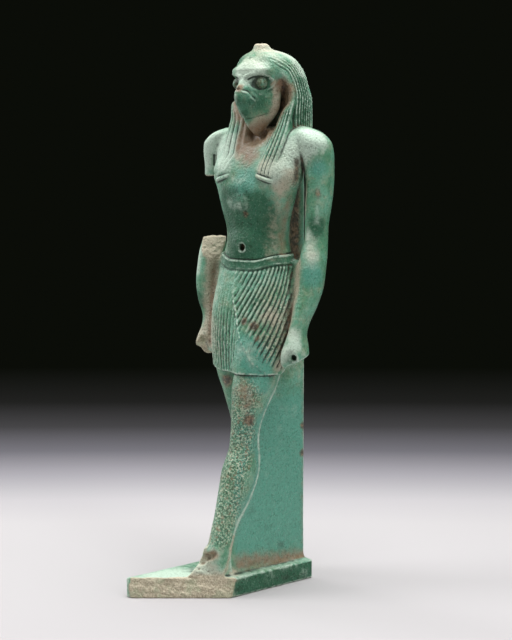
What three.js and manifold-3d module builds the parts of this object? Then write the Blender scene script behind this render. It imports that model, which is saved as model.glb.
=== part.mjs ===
import * as THREE from 'three';
import { ParametricGeometry } from 'three/addons/geometries/ParametricGeometry.js';
import { mergeVertices } from 'three/addons/utils/BufferGeometryUtils.js';
import Module from 'manifold-3d';

// A striding falcon-headed man in glazed faience, moulded and fired in one with its plinth and back pillar.
// It faces -Y, its left side is +X, and the origin is the middle of the plinth's flat underside.

// Driving dimensions in millimetres
const FIGURE_HEIGHT = 115.7; // from the top of the plinth to the broken stump on the crown
const PLINTH_LENGTH = 41.3;
const PLINTH_WIDTH = 17.4;
const PLINTH_HEIGHT = 4.3;
const PLINTH_EDGE = 0.35; // soft edge all round the plinth
const PLINTH_CORNER = 0.9; // rounded upright corners
const BREAK_FRONT = 1.8; // width of the front edge that is left at the broken corner
const BREAK_LENGTH = 14.8; // how far back the broken corner reaches on the left side
const BREAK_LEAN = 0.3; // how far the break leans back for its height
const BREAK_ROUGHNESS = 0.3;
const PILLAR_WIDTH = 13.4;
const PILLAR_DEPTH = 5.0;
const PILLAR_SETBACK = 0.8; // from the back of the plinth to the back of the pillar
const PILLAR_REACH = 8.15; // from the body's axis to the back of the pillar
const WEB_THICKNESS = 4.2; // the filling between the advanced leg and the pillar
const NAVEL_BORE = 1.7;
const FIST_BORE = 1.6;
const BORE_DEPTH = 1.4;

// Carving
const PLEAT_SPACING = 7.7; // degrees between pleats, seen from the body's axis
const PLEAT_DEPTH = 0.32;
const WRAP_BORDER = 2.2; // degrees across the raised free edge of the wrapped kilt
const STRANDS = 9; // locks from the front edge of the wig to its back
const STRAND_DEPTH = 0.3;
const LAPPET_STRANDS = 5;

// The figure is drawn 115.7 units tall, so all its proportions and carving are shares of its height
const UNIT = FIGURE_HEIGHT / 115.7;
const BODY_Y = PLINTH_LENGTH / 2 - PILLAR_SETBACK - PILLAR_REACH;

const wasm = await Module();
wasm.setup();

/** Turns a closed geometry into a solid: shared points become one, and faces that closed up are dropped. */
function solid(geometry) {
  geometry.deleteAttribute('normal');
  geometry.deleteAttribute('uv');
  const merged = mergeVertices(geometry, 1e-4);
  const corners = [];
  for (let i = 0; i < merged.index.count; i += 3) {
    const face = [0, 1, 2].map((k) => merged.index.getX(i + k));
    if (new Set(face).size === 3) corners.push(...face);
  }
  const mesh = new wasm.Mesh({
    numProp: 3,
    vertProperties: new Float32Array(merged.attributes.position.array),
    triVerts: new Uint32Array(corners),
  });
  return new wasm.Manifold(mesh);
}

/** A closed skin over rings of points: pointAt(ring, turn) gives a point, and each end closes on its centre. */
function skin(rings, columns, pointAt) {
  const last = rings - 1;
  const surface = (turn, rise, target) => {
    const row = Math.round(rise * (rings + 1)) - 1;
    if (row < 0 || row > last) {
      const ring = row < 0 ? 0 : last;
      target.set(0, 0, 0);
      for (let k = 0; k < columns; k += 1) target.add(pointAt(ring, k / columns));
      target.divideScalar(columns);
    } else {
      target.copy(pointAt(row, turn % 1));
    }
  };
  return new ParametricGeometry(surface, columns, rings + 1);
}

/** Smooth curves through a table: each row is a height and the values there. */
function profile(table) {
  const heights = table.map((row) => row[0]);
  const values = table.flatMap((row) => row.slice(1));
  const curve = new THREE.CubicInterpolant(heights, values, table[0].length - 1);
  return (height) => Array.from(curve.evaluate(height));
}

/** Even steps from one value to another, both included. */
function steps(from, to, count) {
  return Array.from({ length: count }, (_, k) => from + ((to - from) * k) / (count - 1));
}

/** A cosine or sine raised to a power with its sign kept: 1 gives an ellipse, less a squarer section. */
function squared(value, power) {
  return Math.sign(value) * Math.abs(value) ** power;
}

/** A point of a horizontal section with its own depth in front and behind. */
function sectionPoint(turn, height, [x, y, halfWidth, front, back, squareness]) {
  const angle = turn * 2 * Math.PI;
  const power = 2 / squareness;
  const depth = Math.sin(angle) < 0 ? front : back;
  return new THREE.Vector3(
    x + halfWidth * squared(Math.cos(angle), power),
    y + depth * squared(Math.sin(angle), power),
    height,
  );
}

/** A limb or body built up from horizontal sections; mirrored turns a left limb into a right one. */
function limb(table, rings, columns, mirrored = 1) {
  const shape = profile(table);
  const heights = steps(table[0][0], table.at(-1)[0], rings);
  const pointAt = (ring, turn) => {
    const point = sectionPoint(mirrored > 0 ? turn : 0.5 - turn, heights[ring], shape(heights[ring]));
    point.x *= mirrored;
    return point;
  };
  return skin(rings, columns, pointAt);
}

/** Places a shape of the figure, drawn in units about the body's axis, on the plinth. */
function figurePart(geometry) {
  geometry.scale(UNIT, UNIT, UNIT);
  geometry.translate(0, BODY_Y, PLINTH_HEIGHT);
  return solid(geometry);
}

/** A flattened ball for a swell of flesh or a worn knob. */
function swell(x, y, height, radii) {
  const ball = new THREE.SphereGeometry(1, 12, 8);
  ball.scale(...radii);
  ball.translate(x, y, height);
  return ball;
}

/** A large block that takes away all above or below a break, which tilts towards a heading round the body. */
function breakBlock(x, y, height, tilt, heading, side) {
  const size = 60;
  const block = new THREE.BoxGeometry(size, size, size);
  block.translate(0, 0, (side * size) / 2);
  block.rotateX(tilt);
  block.rotateZ(THREE.MathUtils.degToRad(heading));
  block.translate(x, y, height);
  return block;
}

/** The plinth as it was made, a low slab with softened edges. */
function plinth() {
  const halfWidth = PLINTH_WIDTH / 2 - PLINTH_EDGE;
  const halfLength = PLINTH_LENGTH / 2 - PLINTH_EDGE;
  const corner = PLINTH_CORNER;
  const shape = new THREE.Shape();
  shape.moveTo(-halfWidth, -halfLength);
  shape.lineTo(halfWidth, -halfLength);
  shape.lineTo(halfWidth, halfLength - corner);
  shape.absarc(halfWidth - corner, halfLength - corner, corner, 0, Math.PI / 2, false);
  shape.lineTo(corner - halfWidth, halfLength);
  shape.absarc(corner - halfWidth, halfLength - corner, corner, Math.PI / 2, Math.PI, false);
  const slab = new THREE.ExtrudeGeometry(shape, {
    depth: PLINTH_HEIGHT - 2 * PLINTH_EDGE,
    bevelThickness: PLINTH_EDGE,
    bevelSize: PLINTH_EDGE,
    bevelSegments: 2,
    curveSegments: 4,
  });
  slab.translate(0, 0, PLINTH_EDGE);
  return solid(slab);
}

/** What has broken away: the plinth's left front corner and all that stood on it, along an uneven leaning face. */
function lostCorner() {
  const frontX = BREAK_FRONT - PLINTH_WIDTH / 2;
  const frontY = -PLINTH_LENGTH / 2;
  const sideX = PLINTH_WIDTH / 2;
  const beyond = PLINTH_WIDTH;
  const shape = new THREE.Shape();
  shape.moveTo(frontX, frontY);
  shape.lineTo(frontX, frontY - beyond);
  shape.lineTo(sideX + beyond, frontY - beyond);
  shape.lineTo(sideX + beyond, frontY + BREAK_LENGTH);
  const teeth = 8;
  for (let k = 0; k < teeth; k += 1) {
    const along = k / teeth;
    const tooth = BREAK_ROUGHNESS * Math.sin(5.3 * k + 0.6);
    shape.lineTo(sideX + (frontX - sideX) * along + tooth, frontY + BREAK_LENGTH * (1 - along) - tooth);
  }
  const height = 3 * PLINTH_HEIGHT;
  const block = new THREE.ExtrudeGeometry(shape, { depth: height, bevelEnabled: false });
  block.translate(0, 0, -PLINTH_EDGE);
  const lean = new THREE.Matrix4().set(1, 0, -BREAK_LEAN, 0, 0, 1, BREAK_LEAN, 0, 0, 0, 1, 0, 0, 0, 0, 1);
  block.applyMatrix4(lean);
  return solid(block);
}

/** The back pillar, from the plinth to the wig. */
function pillar() {
  const top = PLINTH_HEIGHT + 97 * UNIT;
  const slab = new THREE.BoxGeometry(PILLAR_WIDTH, PILLAR_DEPTH, top - PLINTH_HEIGHT / 2);
  slab.translate(0, BODY_Y + PILLAR_REACH - PILLAR_DEPTH / 2, (top + PLINTH_HEIGHT / 2) / 2);
  return solid(slab);
}

/** The flat filling from the advanced leg back to the pillar, flush with the pillar's side. */
function web() {
  const foot = -PLINTH_HEIGHT / 2;
  const pillarBack = PILLAR_REACH - 0.5 * PILLAR_DEPTH;
  const outline = new THREE.Shape();
  outline.moveTo(pillarBack, foot);
  outline.lineTo(pillarBack, 46 * UNIT);
  outline.lineTo(-3 * UNIT, 46 * UNIT);
  const legAxis = [[-5.6, 40.8], [-8.0, 33.5], [-9.0, 27], [-10.2, 22.6], [-12.5, 16], [-15.4, 9.7], [-16.6, 5.2]];
  for (const [y, height] of legAxis) outline.lineTo(y * UNIT, height * UNIT);
  outline.lineTo(-16.6 * UNIT, foot);
  const panel = new THREE.ExtrudeGeometry(outline, { depth: WEB_THICKNESS, bevelEnabled: false });
  const upright = new THREE.Matrix4().set(0, 0, 1, 0, 1, 0, 0, 0, 0, 1, 0, 0, 0, 0, 0, 1);
  panel.applyMatrix4(upright);
  panel.translate(PILLAR_WIDTH / 2 - WEB_THICKNESS, BODY_Y, PLINTH_HEIGHT);
  return solid(panel);
}

/** Waist, chest and shoulders. */
function torso() {
  const table = [
    [62, 0, -0.3, 9.2, 6.0, 6.2, 2.2],
    [68, 0, -0.3, 9.0, 5.2, 6.0, 2.2],
    [72.4, 0, -0.1, 8.0, 5.0, 5.6, 2.1],
    [75, 0, -0.1, 8.1, 5.0, 5.4, 2.1],
    [78.1, 0, -0.4, 8.9, 4.9, 5.6, 2.2],
    [81.3, 0, -0.4, 10.0, 4.9, 5.6, 2.3],
    [84.1, 0, -0.3, 10.9, 5.1, 5.6, 2.3],
    [86.7, 0, 0.2, 11.6, 5.0, 5.4, 2.4],
    [90.7, 0, 1.2, 12.6, 4.8, 5.0, 2.5],
    [93.7, 0, 2.2, 13.2, 4.5, 4.6, 2.5],
    [96.2, 0, 2.9, 12.9, 3.8, 4.0, 2.4],
    [97.7, 0, 3.2, 11.4, 2.4, 3.0, 2.2],
  ];
  return limb(table, 15, 20);
}

/** The fist, forearm and upper arm at the side; spread and lead move the upper part, lag the wrist and fist. */
function arm(mirrored, spread, lead, lag) {
  const table = [
    [45.4, 13.9, -3.5, 1.5, 2.2, 2.2, 2.3],
    [46.4, 13.9, -3.4, 2.4, 3.1, 3.1, 2.4],
    [48.4, 14.0, -3.2, 2.6, 3.3, 3.2, 2.4],
    [50.4, 14.2, -2.9, 2.3, 2.9, 2.8, 2.3],
    [52.2, 14.3, -2.6, 1.95, 2.4, 2.4, 2.0],
    [54.6, 14.5, -2.0, 1.9, 2.3, 2.3, 2.0],
    [58.2, 14.6, -0.9, 2.2, 2.6, 2.6, 2.0],
    [62.2, 14.8, 0.8, 2.6, 3.0, 3.0, 2.0],
    [66.5, 14.9, 1.6, 2.85, 3.3, 3.2, 2.0],
    [69.5, 14.9, 2.1, 2.75, 3.2, 3.2, 2.0],
    [72.6, 14.9, 2.8, 2.35, 2.9, 2.9, 2.0],
    [76.1, 14.9, 3.0, 2.35, 2.9, 2.9, 2.0],
    [80.0, 14.9, 3.5, 2.6, 3.2, 3.2, 2.0],
    [84.0, 14.9, 3.95, 2.75, 3.4, 3.4, 2.0],
    [89.1, 14.8, 4.1, 2.95, 3.7, 3.6, 2.0],
    [92.2, 14.4, 3.8, 3.4, 3.9, 3.8, 2.1],
    [94.3, 13.9, 3.4, 3.5, 3.8, 3.8, 2.1],
    [96.4, 12.9, 3.2, 3.0, 3.0, 3.1, 2.0],
    [97.4, 12.0, 3.2, 1.9, 1.8, 2.0, 2.0],
  ];
  const settled = table.map(([height, x, y, ...rest]) => {
    const low = 1 - THREE.MathUtils.smoothstep(height, 54, 62);
    return [height, x + spread * (1 - low), y + low * lag - (1 - low) * lead, ...rest];
  });
  return limb(settled, 21, 12, mirrored);
}

/** The strip of body between the forearm and the kilt, left where the mould kept them joined. */
function armJoin(mirrored) {
  const table = [
    [46.5, 11.6, -1.5, 2.6, 1.4, 2.2, 2.6],
    [56, 12.2, -0.4, 2.4, 1.6, 2.2, 2.6],
    [68.3, 11.6, 1.6, 2.8, 1.4, 2.0, 2.6],
  ];
  return limb(table, 5, 8, mirrored);
}

/** The advanced left leg, from inside the kilt down into the plinth, broken at the ankle's front. */
function leftLeg() {
  const table = [
    [-1.5, 4.2, -16.9, 2.2, 2.9, 2.6, 2.0],
    [2, 4.2, -16.9, 2.2, 2.9, 2.6, 2.0],
    [5.5, 4.2, -16.9, 2.1, 2.6, 2.5, 2.0],
    [7.1, 4.2, -16.4, 2.1, 2.5, 2.5, 2.0],
    [9.7, 4.2, -15.5, 2.25, 2.7, 2.7, 2.0],
    [12.9, 4.2, -13.9, 2.65, 3.2, 3.2, 2.0],
    [16.0, 4.2, -12.5, 3.05, 3.7, 3.7, 2.0],
    [19.2, 4.2, -11.2, 3.4, 4.1, 4.1, 2.0],
    [22.6, 4.2, -10.2, 3.5, 4.2, 4.2, 2.0],
    [25.2, 4.2, -9.5, 3.15, 3.8, 3.8, 2.0],
    [27.1, 4.2, -9.0, 2.85, 3.5, 3.4, 2.0],
    [29.7, 4.2, -8.8, 2.75, 3.3, 3.2, 2.0],
    [33.5, 4.2, -8.2, 2.95, 3.5, 3.5, 2.0],
    [37.1, 4.2, -7.1, 3.6, 4.3, 4.3, 2.0],
    [40.8, 4.3, -5.9, 4.4, 5.0, 5.2, 2.0],
    [45, 4.4, -4.8, 4.8, 5.0, 5.8, 2.0],
    [50, 4.4, -4.0, 4.8, 4.2, 5.8, 2.0],
  ];
  return limb(table, 18, 12);
}

/** The right leg, which stands straight against the pillar. */
function rightLeg() {
  const table = [
    [-1.5, -3.9, 2.2, 1.9, 2.3, 2.5, 2.0],
    [4.7, -3.9, 2.3, 1.9, 2.4, 2.4, 2.0],
    [10, -3.95, 2.2, 2.2, 2.7, 3.0, 2.0],
    [17, -4.0, 2.1, 3.0, 3.3, 4.2, 2.0],
    [22, -4.0, 2.0, 3.2, 3.6, 4.2, 2.0],
    [28.7, -4.0, 1.0, 3.0, 3.5, 3.8, 2.0],
    [37.3, -4.5, 0.1, 4.0, 4.7, 4.8, 2.0],
    [43.7, -5.2, -0.8, 4.9, 5.3, 5.2, 2.0],
    [50, -5.2, -0.8, 5.0, 5.2, 5.2, 2.0],
  ];
  return limb(table, 12, 12);
}

/** The right foot, flat on the plinth, from its toes back to the heel. */
function rightFoot() {
  const shape = profile([
    [-11.2, -4.6, 2.2, 1.2],
    [-10.2, -4.6, 2.6, 1.8],
    [-7, -4.5, 2.6, 2.3],
    [-3.5, -4.2, 2.3, 3.4],
    [0, -4.0, 2.0, 5.2],
    [3, -3.9, 2.0, 4.6],
    [5, -3.9, 1.5, 2.6],
  ]);
  const stations = steps(-11.2, 5, 10);
  const pointAt = (ring, turn) => {
    const y = stations[ring];
    const [x, halfWidth, height] = shape(y);
    const angle = -turn * 2 * Math.PI;
    const rise = Math.sin(angle) > 0 ? height : 1.5;
    return new THREE.Vector3(x + halfWidth * squared(Math.cos(angle), 0.8), y, rise * squared(Math.sin(angle), 0.8));
  };
  return skin(stations.length, 12, pointAt);
}

/** The rough root of the lost left foot, which slopes from the ankle down to the broken plinth. */
function brokenFoot() {
  const table = [
    [-1.2, 3.4, -19.2, 3.6, 4.6, 3.0, 2.4],
    [0.6, 3.5, -19.0, 3.4, 4.3, 3.0, 2.2],
    [2.6, 3.9, -18.4, 2.9, 3.4, 2.6, 2.0],
    [4.6, 4.1, -17.9, 2.5, 3.2, 2.2, 2.0],
    [6.3, 4.2, -17.7, 2.1, 2.9, 2.0, 2.0],
  ];
  return limb(table, 6, 12);
}

/** Where the free edge of the wrapped kilt lies, in degrees from the left side, for a height. */
const wrapEdge = profile([
  [43.4, -43],
  [47, -52],
  [51, -67],
  [56, -84],
  [61, -91],
  [68.2, -95],
]);

/** The wrapped kilt: slanting pleats on its left, upright ones on its right, and a belt on top. */
function kilt() {
  const beltTop = 68.1;
  const beltFoot = 66.1;
  const hem = 43.5;
  const shape = profile([
    [43.4, 0, -0.4, 11.0, 7.6, 6.6, 2.15],
    [46.7, 0, -0.4, 11.35, 7.7, 6.6, 2.15],
    [53.7, 0, -0.5, 11.5, 7.6, 6.5, 2.15],
    [58.2, 0, -0.4, 11.2, 7.2, 6.4, 2.15],
    [61.7, 0, -0.4, 10.7, 6.4, 6.3, 2.1],
    [66.0, 0, -0.3, 9.9, 5.7, 6.1, 2.1],
    [68.3, 0, -0.3, 9.3, 5.3, 6.0, 2.1],
  ]);
  const heights = [hem, hem + 0.5, ...steps(46.5, beltFoot - 0.3, 7), beltFoot, beltFoot + 0.3, beltTop];
  const leftBack = 38;
  const rightBack = -218;
  const slant = 2.3; // degrees that a left pleat turns to the front for each unit down
  const gathered = 0.1; // degrees between pleats that the wrap's edge covers
  const leftHalves = 2 * Math.round((leftBack + 95 + slant * (beltFoot - hem)) / PLEAT_SPACING);
  const rightHalves = 2 * Math.round((-43 - rightBack) / PLEAT_SPACING);
  const columns = leftHalves + rightHalves + 6;
  const ringAngles = (height) => {
    const edge = wrapEdge(height)[0];
    const border = edge + WRAP_BORDER;
    const drop = slant * (beltFoot - height);
    const angles = [];
    for (let k = 0; k < rightHalves; k += 1) {
      const free = rightBack + (k * PLEAT_SPACING) / 2;
      const covered = edge - gathered * (rightHalves - k);
      angles.push([Math.min(free, covered), free < covered ? k % 2 : 0]);
    }
    angles.push([edge, 1.5], [border, 1.5]);
    for (let k = 0; k < leftHalves; k += 1) {
      const free = -95 + (k * PLEAT_SPACING) / 2 - drop;
      const covered = border + gathered * (k + 1);
      angles.push([Math.max(free, covered), free > covered ? k % 2 : 0.5]);
    }
    const from = angles.at(-1)[0];
    const to = rightBack + 360;
    for (let k = 1; k <= 4; k += 1) angles.push([from + ((to - from) * k) / 5, 1]);
    return angles;
  };
  const rings = heights.map((height) => {
    const [x, y, halfWidth, front, back, squareness] = shape(height);
    const belted = height > beltFoot - 0.1;
    const swellOut = height > beltFoot + 0.1 && height < beltTop - 0.1 ? 0.5 : 0.3;
    const thigh = 3.7 * THREE.MathUtils.smoothstep(66 - height, 0, 24);
    return ringAngles(height).map(([angle, ridge]) => {
      const turn = (angle / 360 + 2) % 1;
      const inFront = Math.sin(turn * 2 * Math.PI) < 0.5;
      const lift = belted ? swellOut : (inFront ? 1 : 0) * PLEAT_DEPTH * (ridge - 0.5);
      const grown = [x, y, halfWidth + lift, front + lift, back, squareness];
      const point = sectionPoint(turn, height, grown);
      if (point.y < y) point.y -= thigh * Math.exp(-(((point.x - 5.2) / 4.4) ** 2));
      return point;
    });
  });
  return skin(heights.length, columns, (ring, turn) => rings[ring][Math.round(turn * columns) % columns]);
}

/** The crown and sides of the wig, in rings that follow the face and carry the locks. */
function wigCap() {
  const foot = 92.7;
  const shape = profile([
    [0, 0.3, -3.1, 111.7, 8.4],
    [0.1, 0.9, -2.2, 112.6, 9.1],
    [0.3, 2.6, 0.5, 113.8, 9.7],
    [0.5, 4.5, 3.3, 114.2, 9.9],
    [0.7, 6.4, 6.2, 113.9, 9.9],
    [0.85, 7.9, 8.3, 112.7, 9.6],
    [0.95, 8.9, 9.5, 110.2, 8.7],
    [1, 9.4, 10.0, 107, 7.0],
  ]);
  const rows = [0, ...steps(0.04, 0.8, 3 * STRANDS + 1), 0.86, 0.91, 0.95, 0.98, 1];
  const arch = 19;
  const columns = arch + 2;
  const pointAt = (ring, turn) => {
    const [sideY, topY, top, halfWidth] = shape(rows[ring]);
    const k = Math.round(turn * columns) % columns;
    const angle = (Math.PI * Math.min(k, arch)) / arch;
    const across = k > arch ? 0 : squared(Math.cos(angle), 0.72);
    const up = k > arch ? 0 : Math.sin(angle) ** 0.72;
    const groove = ring > 1 && ring < 3 * STRANDS && ring % 3 === 1 ? 1 : 0;
    const smoothTop = 1 - THREE.MathUtils.smoothstep(up, 0.84, 0.94);
    const cut = STRAND_DEPTH * groove * smoothTop;
    return new THREE.Vector3(
      -(halfWidth - cut) * across,
      sideY + (topY - sideY) * up ** 3,
      foot + (top - foot - cut) * up,
    );
  };
  return skin(rows.length, columns, pointAt);
}

/** The hollow under the front edge of the wig, from which the face stands out. */
function faceOpening() {
  const table = [
    [92, 0, -2.0, 5.2, 5.0, 2.6, 2.2],
    [96, 0, -2.0, 6.4, 5.0, 3.6, 2.2],
    [101, 0, -2.0, 7.6, 5.0, 4.4, 2.2],
    [105, 0, -2.0, 7.5, 5.0, 4.4, 2.2],
    [108, 0, -2.4, 6.8, 5.0, 3.8, 2.2],
    [110.2, 0, -3.0, 5.2, 4.0, 2.4, 2.2],
  ];
  return limb(table, 8, 16);
}

/** The falcon's face, a wedge that comes forward to the beak and narrows down to the throat. */
function face() {
  const shape = profile([
    [94.8, 0.8, -0.3, 1.0, 2.0],
    [96.0, 2.2, -1.1, 1.2, 1.8],
    [97.1, 3.4, -2.8, 1.4, 1.7],
    [98.8, 4.4, -3.9, 1.6, 1.6],
    [99.7, 4.8, -5.1, 1.6, 1.5],
    [101.8, 5.4, -6.4, 1.7, 1.45],
    [103.6, 5.6, -7.2, 1.8, 1.45],
    [105.3, 5.6, -6.9, 1.8, 1.4],
    [107, 5.5, -5.6, 1.8, 1.5],
    [108.8, 5.4, -4.5, 1.8, 1.9],
    [110.4, 5.2, -4.0, 1.8, 2.2],
    [111.8, 4.5, -3.2, 1.8, 2.2],
  ]);
  const heights = steps(94.8, 111.8, 13);
  const pointAt = (ring, turn) => {
    const height = heights[ring];
    const [halfWidth, beak, cheek, bluntness] = shape(height);
    const angle = turn * 2 * Math.PI;
    const across = Math.cos(angle);
    const ahead = Math.sin(angle) < 0 ? (beak - cheek) * (1 - Math.abs(across) ** bluntness) : 3.2 * Math.sin(angle);
    return new THREE.Vector3(halfWidth * across, cheek + ahead, height);
  };
  return skin(heights.length, 20, pointAt);
}

/** An eye: a ring, a sunk line and a round eyeball, turned about the line of sight. */
function eye(side) {
  const outline = [
    [0, -1.2],
    [2.0, -1.2],
    [2.05, 0.1],
    [1.75, 0.45],
    [1.45, 0.3],
    [1.2, 0.1],
    [0.85, 0.45],
    [0, 0.7],
  ].map(([radius, out]) => new THREE.Vector2(radius, out));
  const knob = new THREE.LatheGeometry(outline, 12);
  knob.scale(1.1, 1, 0.95);
  knob.rotateZ(Math.PI + side * THREE.MathUtils.degToRad(50));
  knob.translate(side * 3.95, -3.1, 107.4);
  return knob;
}

/** A lappet of the wig on the chest, with its locks and a plain band across its end. */
function lappet(mirrored) {
  const shape = profile([
    [85.4, 3.7, 8.5, -5.7],
    [88.7, 3.75, 8.9, -4.9],
    [91.7, 4.0, 9.3, -3.6],
    [94.7, 4.5, 9.7, -2.3],
    [97.7, 5.3, 9.8, -0.9],
    [101, 6.6, 9.3, -0.2],
    [103.5, 7.6, 9.0, 0.1],
  ]);
  const heights = [85.4, 85.6, 86.4, 86.6, ...steps(88.7, 103.5, 5)];
  const frontColumns = 3 * LAPPET_STRANDS;
  const columns = frontColumns + 3;
  const pointAt = (ring, turn) => {
    const height = heights[ring];
    const [inner, outer, front] = shape(height);
    const k = Math.round(turn * columns) % columns;
    const banded = height < 86.5;
    if (k > frontColumns) return new THREE.Vector3(mirrored * (k === frontColumns + 1 ? outer : inner), front + 4, height);
    const along = k / frontColumns;
    const round = 1.1 * (2 * along - 1) ** 4 + 0.5 * along;
    const cut = banded || k % 3 ? 0 : STRAND_DEPTH;
    const proud = banded ? 0.12 : 0;
    return new THREE.Vector3(mirrored * (inner + (outer - inner) * along), front + round + cut - proud, height);
  };
  const flipped = (ring, turn) => pointAt(ring, mirrored > 0 ? turn : (1 - turn) % 1);
  return skin(heights.length, columns, flipped);
}

/** The broken root of the headdress that once stood on the crown. */
function crownStump() {
  const table = [
    [110.5, 0, 1.4, 3.4, 3.2, 3.4, 2.2],
    [113.6, 0, 1.3, 2.7, 2.5, 2.7, 2.3],
    [114.9, -0.2, 1.0, 1.9, 1.8, 1.9, 2.6],
    [115.7, -0.4, 0.8, 1.2, 1.1, 1.2, 2.6],
  ];
  return limb(table, 6, 10);
}

/** A shallow round bore into the front of the body. */
function bore(x, y, height, diameter) {
  const drill = new THREE.CylinderGeometry(diameter / 2, diameter / 2.6, 2 * BORE_DEPTH, 10);
  drill.rotateX(Math.PI);
  drill.translate(x * UNIT, BODY_Y + y * UNIT, PLINTH_HEIGHT + height * UNIT);
  return solid(drill);
}

/** The whole figure with its plinth as one solid. */
function falconFigure() {
  let body = plinth().add(figurePart(brokenFoot())).subtract(lostCorner());
  body = body.add(pillar()).add(web());
  body = body.add(figurePart(leftLeg())).add(figurePart(rightLeg())).add(figurePart(rightFoot()));
  body = body.add(figurePart(torso())).add(figurePart(kilt()));
  for (const side of [-1, 1]) body = body.add(figurePart(swell(side * 6.2, -0.1, 87.0, [5.8, 4.2, 4.6])));
  body = body.add(figurePart(arm(1, 0, 0, 0))).add(figurePart(armJoin(1))).add(figurePart(armJoin(-1)));
  const rightArm = figurePart(arm(-1, 0.6, 0.9, 2.0));
  const shoulder = rightArm.subtract(figurePart(breakBlock(-15.4, 3.2, 87.2, 0.22, 90, -1)));
  const forearm = rightArm
    .subtract(figurePart(breakBlock(-15.4, 1.2, 70.2, 0.72, 44, 1)))
    .subtract(figurePart(breakBlock(-14, -1, 46.7, 0.15, 44, -1)));
  body = body.add(shoulder).add(forearm);
  const cap = figurePart(wigCap()).subtract(figurePart(faceOpening()));
  body = body.add(cap).add(figurePart(face())).add(figurePart(crownStump()));
  for (const side of [-1, 1]) {
    const brow = figurePart(swell(side * 3.4, -1.6, 109.9, [2.5, 2.1, 0.9]));
    body = body.add(brow).add(figurePart(eye(side))).add(figurePart(lappet(side)));
  }
  body = body.subtract(bore(0, -5.4, 71, NAVEL_BORE));
  return body.subtract(bore(13.9, -6.6, 47.6, FIST_BORE));
}

/** A drawable geometry from a solid. */
function drawable(shape) {
  const mesh = shape.getMesh();
  const geometry = new THREE.BufferGeometry();
  geometry.setAttribute('position', new THREE.BufferAttribute(new Float32Array(mesh.vertProperties), 3));
  geometry.setIndex(new THREE.BufferAttribute(new Uint32Array(mesh.triVerts), 1));
  geometry.computeVertexNormals();
  return geometry;
}

const faience = new THREE.MeshStandardMaterial({ color: 0x6fae94, roughness: 0.45, metalness: 0 });
const figure = new THREE.Mesh(drawable(falconFigure()), faience);
figure.name = 'falcon_figure';

const group = new THREE.Group();
group.add(figure);

export default group;
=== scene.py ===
import math

import bpy
import numpy as np
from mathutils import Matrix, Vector


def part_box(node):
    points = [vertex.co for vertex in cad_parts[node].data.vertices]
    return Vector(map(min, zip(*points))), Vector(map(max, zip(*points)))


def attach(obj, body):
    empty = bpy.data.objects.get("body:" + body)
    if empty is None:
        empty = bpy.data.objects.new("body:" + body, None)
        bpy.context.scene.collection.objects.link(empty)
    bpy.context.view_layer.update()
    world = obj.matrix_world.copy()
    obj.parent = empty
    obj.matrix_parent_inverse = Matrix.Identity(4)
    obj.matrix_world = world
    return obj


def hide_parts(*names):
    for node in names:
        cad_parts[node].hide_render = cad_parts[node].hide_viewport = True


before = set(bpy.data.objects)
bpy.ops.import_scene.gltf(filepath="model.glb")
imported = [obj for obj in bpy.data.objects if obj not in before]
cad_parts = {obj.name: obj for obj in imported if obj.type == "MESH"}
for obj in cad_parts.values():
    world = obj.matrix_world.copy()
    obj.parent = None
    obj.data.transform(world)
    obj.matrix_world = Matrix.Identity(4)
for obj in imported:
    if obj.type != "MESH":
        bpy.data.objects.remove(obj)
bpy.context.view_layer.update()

# The camera looks down a little at the figure's front and left side, from the photograph's place. Its
# distance is metres from the body's upright axis, which stands 11.7 mm behind the plinth's middle. The
# plinth's height is metres too; its other sizes are millimetres of a figure FIGURE_TALL over the plinth.

VIEW_HEADING = math.radians(43.8)
VIEW_DISTANCE = 0.400
VIEW_HEIGHT = 0.0975
VIEW_PITCH = math.radians(5.53)
VIEW_YAW = math.radians(0.06)
FOCAL_PIXELS = 1797
PHOTO_HEIGHT = 640
SENSOR = 36

PLINTH_HEIGHT = 0.0043
FIGURE_TALL = 115.7
PLINTH_LENGTH = 41.3
PLINTH_OVERHANG = 0.8
PILLAR_BACK = 8.15
low, high = (np.array(corner, float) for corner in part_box("falcon_figure"))
unit = (high[2] - PLINTH_HEIGHT) / FIGURE_TALL
axis_y = (PLINTH_LENGTH / 2 - PLINTH_OVERHANG - PILLAR_BACK) * unit

camera_data = bpy.data.cameras.new("camera")
camera_data.sensor_fit = "VERTICAL"
camera_data.sensor_height = SENSOR
camera_data.lens = FOCAL_PIXELS / PHOTO_HEIGHT * SENSOR
camera = bpy.data.objects.new("camera", camera_data)
bpy.context.collection.objects.link(camera)
camera.location = (
    math.sin(VIEW_HEADING) * VIEW_DISTANCE,
    axis_y - math.cos(VIEW_HEADING) * VIEW_DISTANCE,
    VIEW_HEIGHT,
)
camera.rotation_euler = (math.pi / 2 - VIEW_PITCH, 0, VIEW_HEADING + VIEW_YAW)
bpy.context.scene.camera = camera
bpy.context.scene.view_settings.view_transform = "Standard"

# The stand is one sheet of plain paper with a painted shade: pale around the figure and dark farther off,
# so that it runs into the unlit room behind. The painted shade follows the distance along the camera's
# heading most.

PAPER_HALF = 2.5
PAPER_ACROSS = 3.0
SHADE_REACH = 0.4
PAPER_GREEN = 0.965

# Each painted shade is a distance in metres, a red and a blue. The green is PAPER_GREEN times the red.
PAPER_PAINTED_SHADES = (
    (0.07, 0.50, 0.49),
    (0.10, 0.455, 0.455),
    (0.14, 0.285, 0.30),
    (0.18, 0.125, 0.138),
    (0.23, 0.042, 0.044),
    (0.29, 0.010, 0.010),
    (0.40, 0.000, 0.000),
)
ROOM_DARK = (0.0033, 0.0040, 0.0025, 1)

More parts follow.
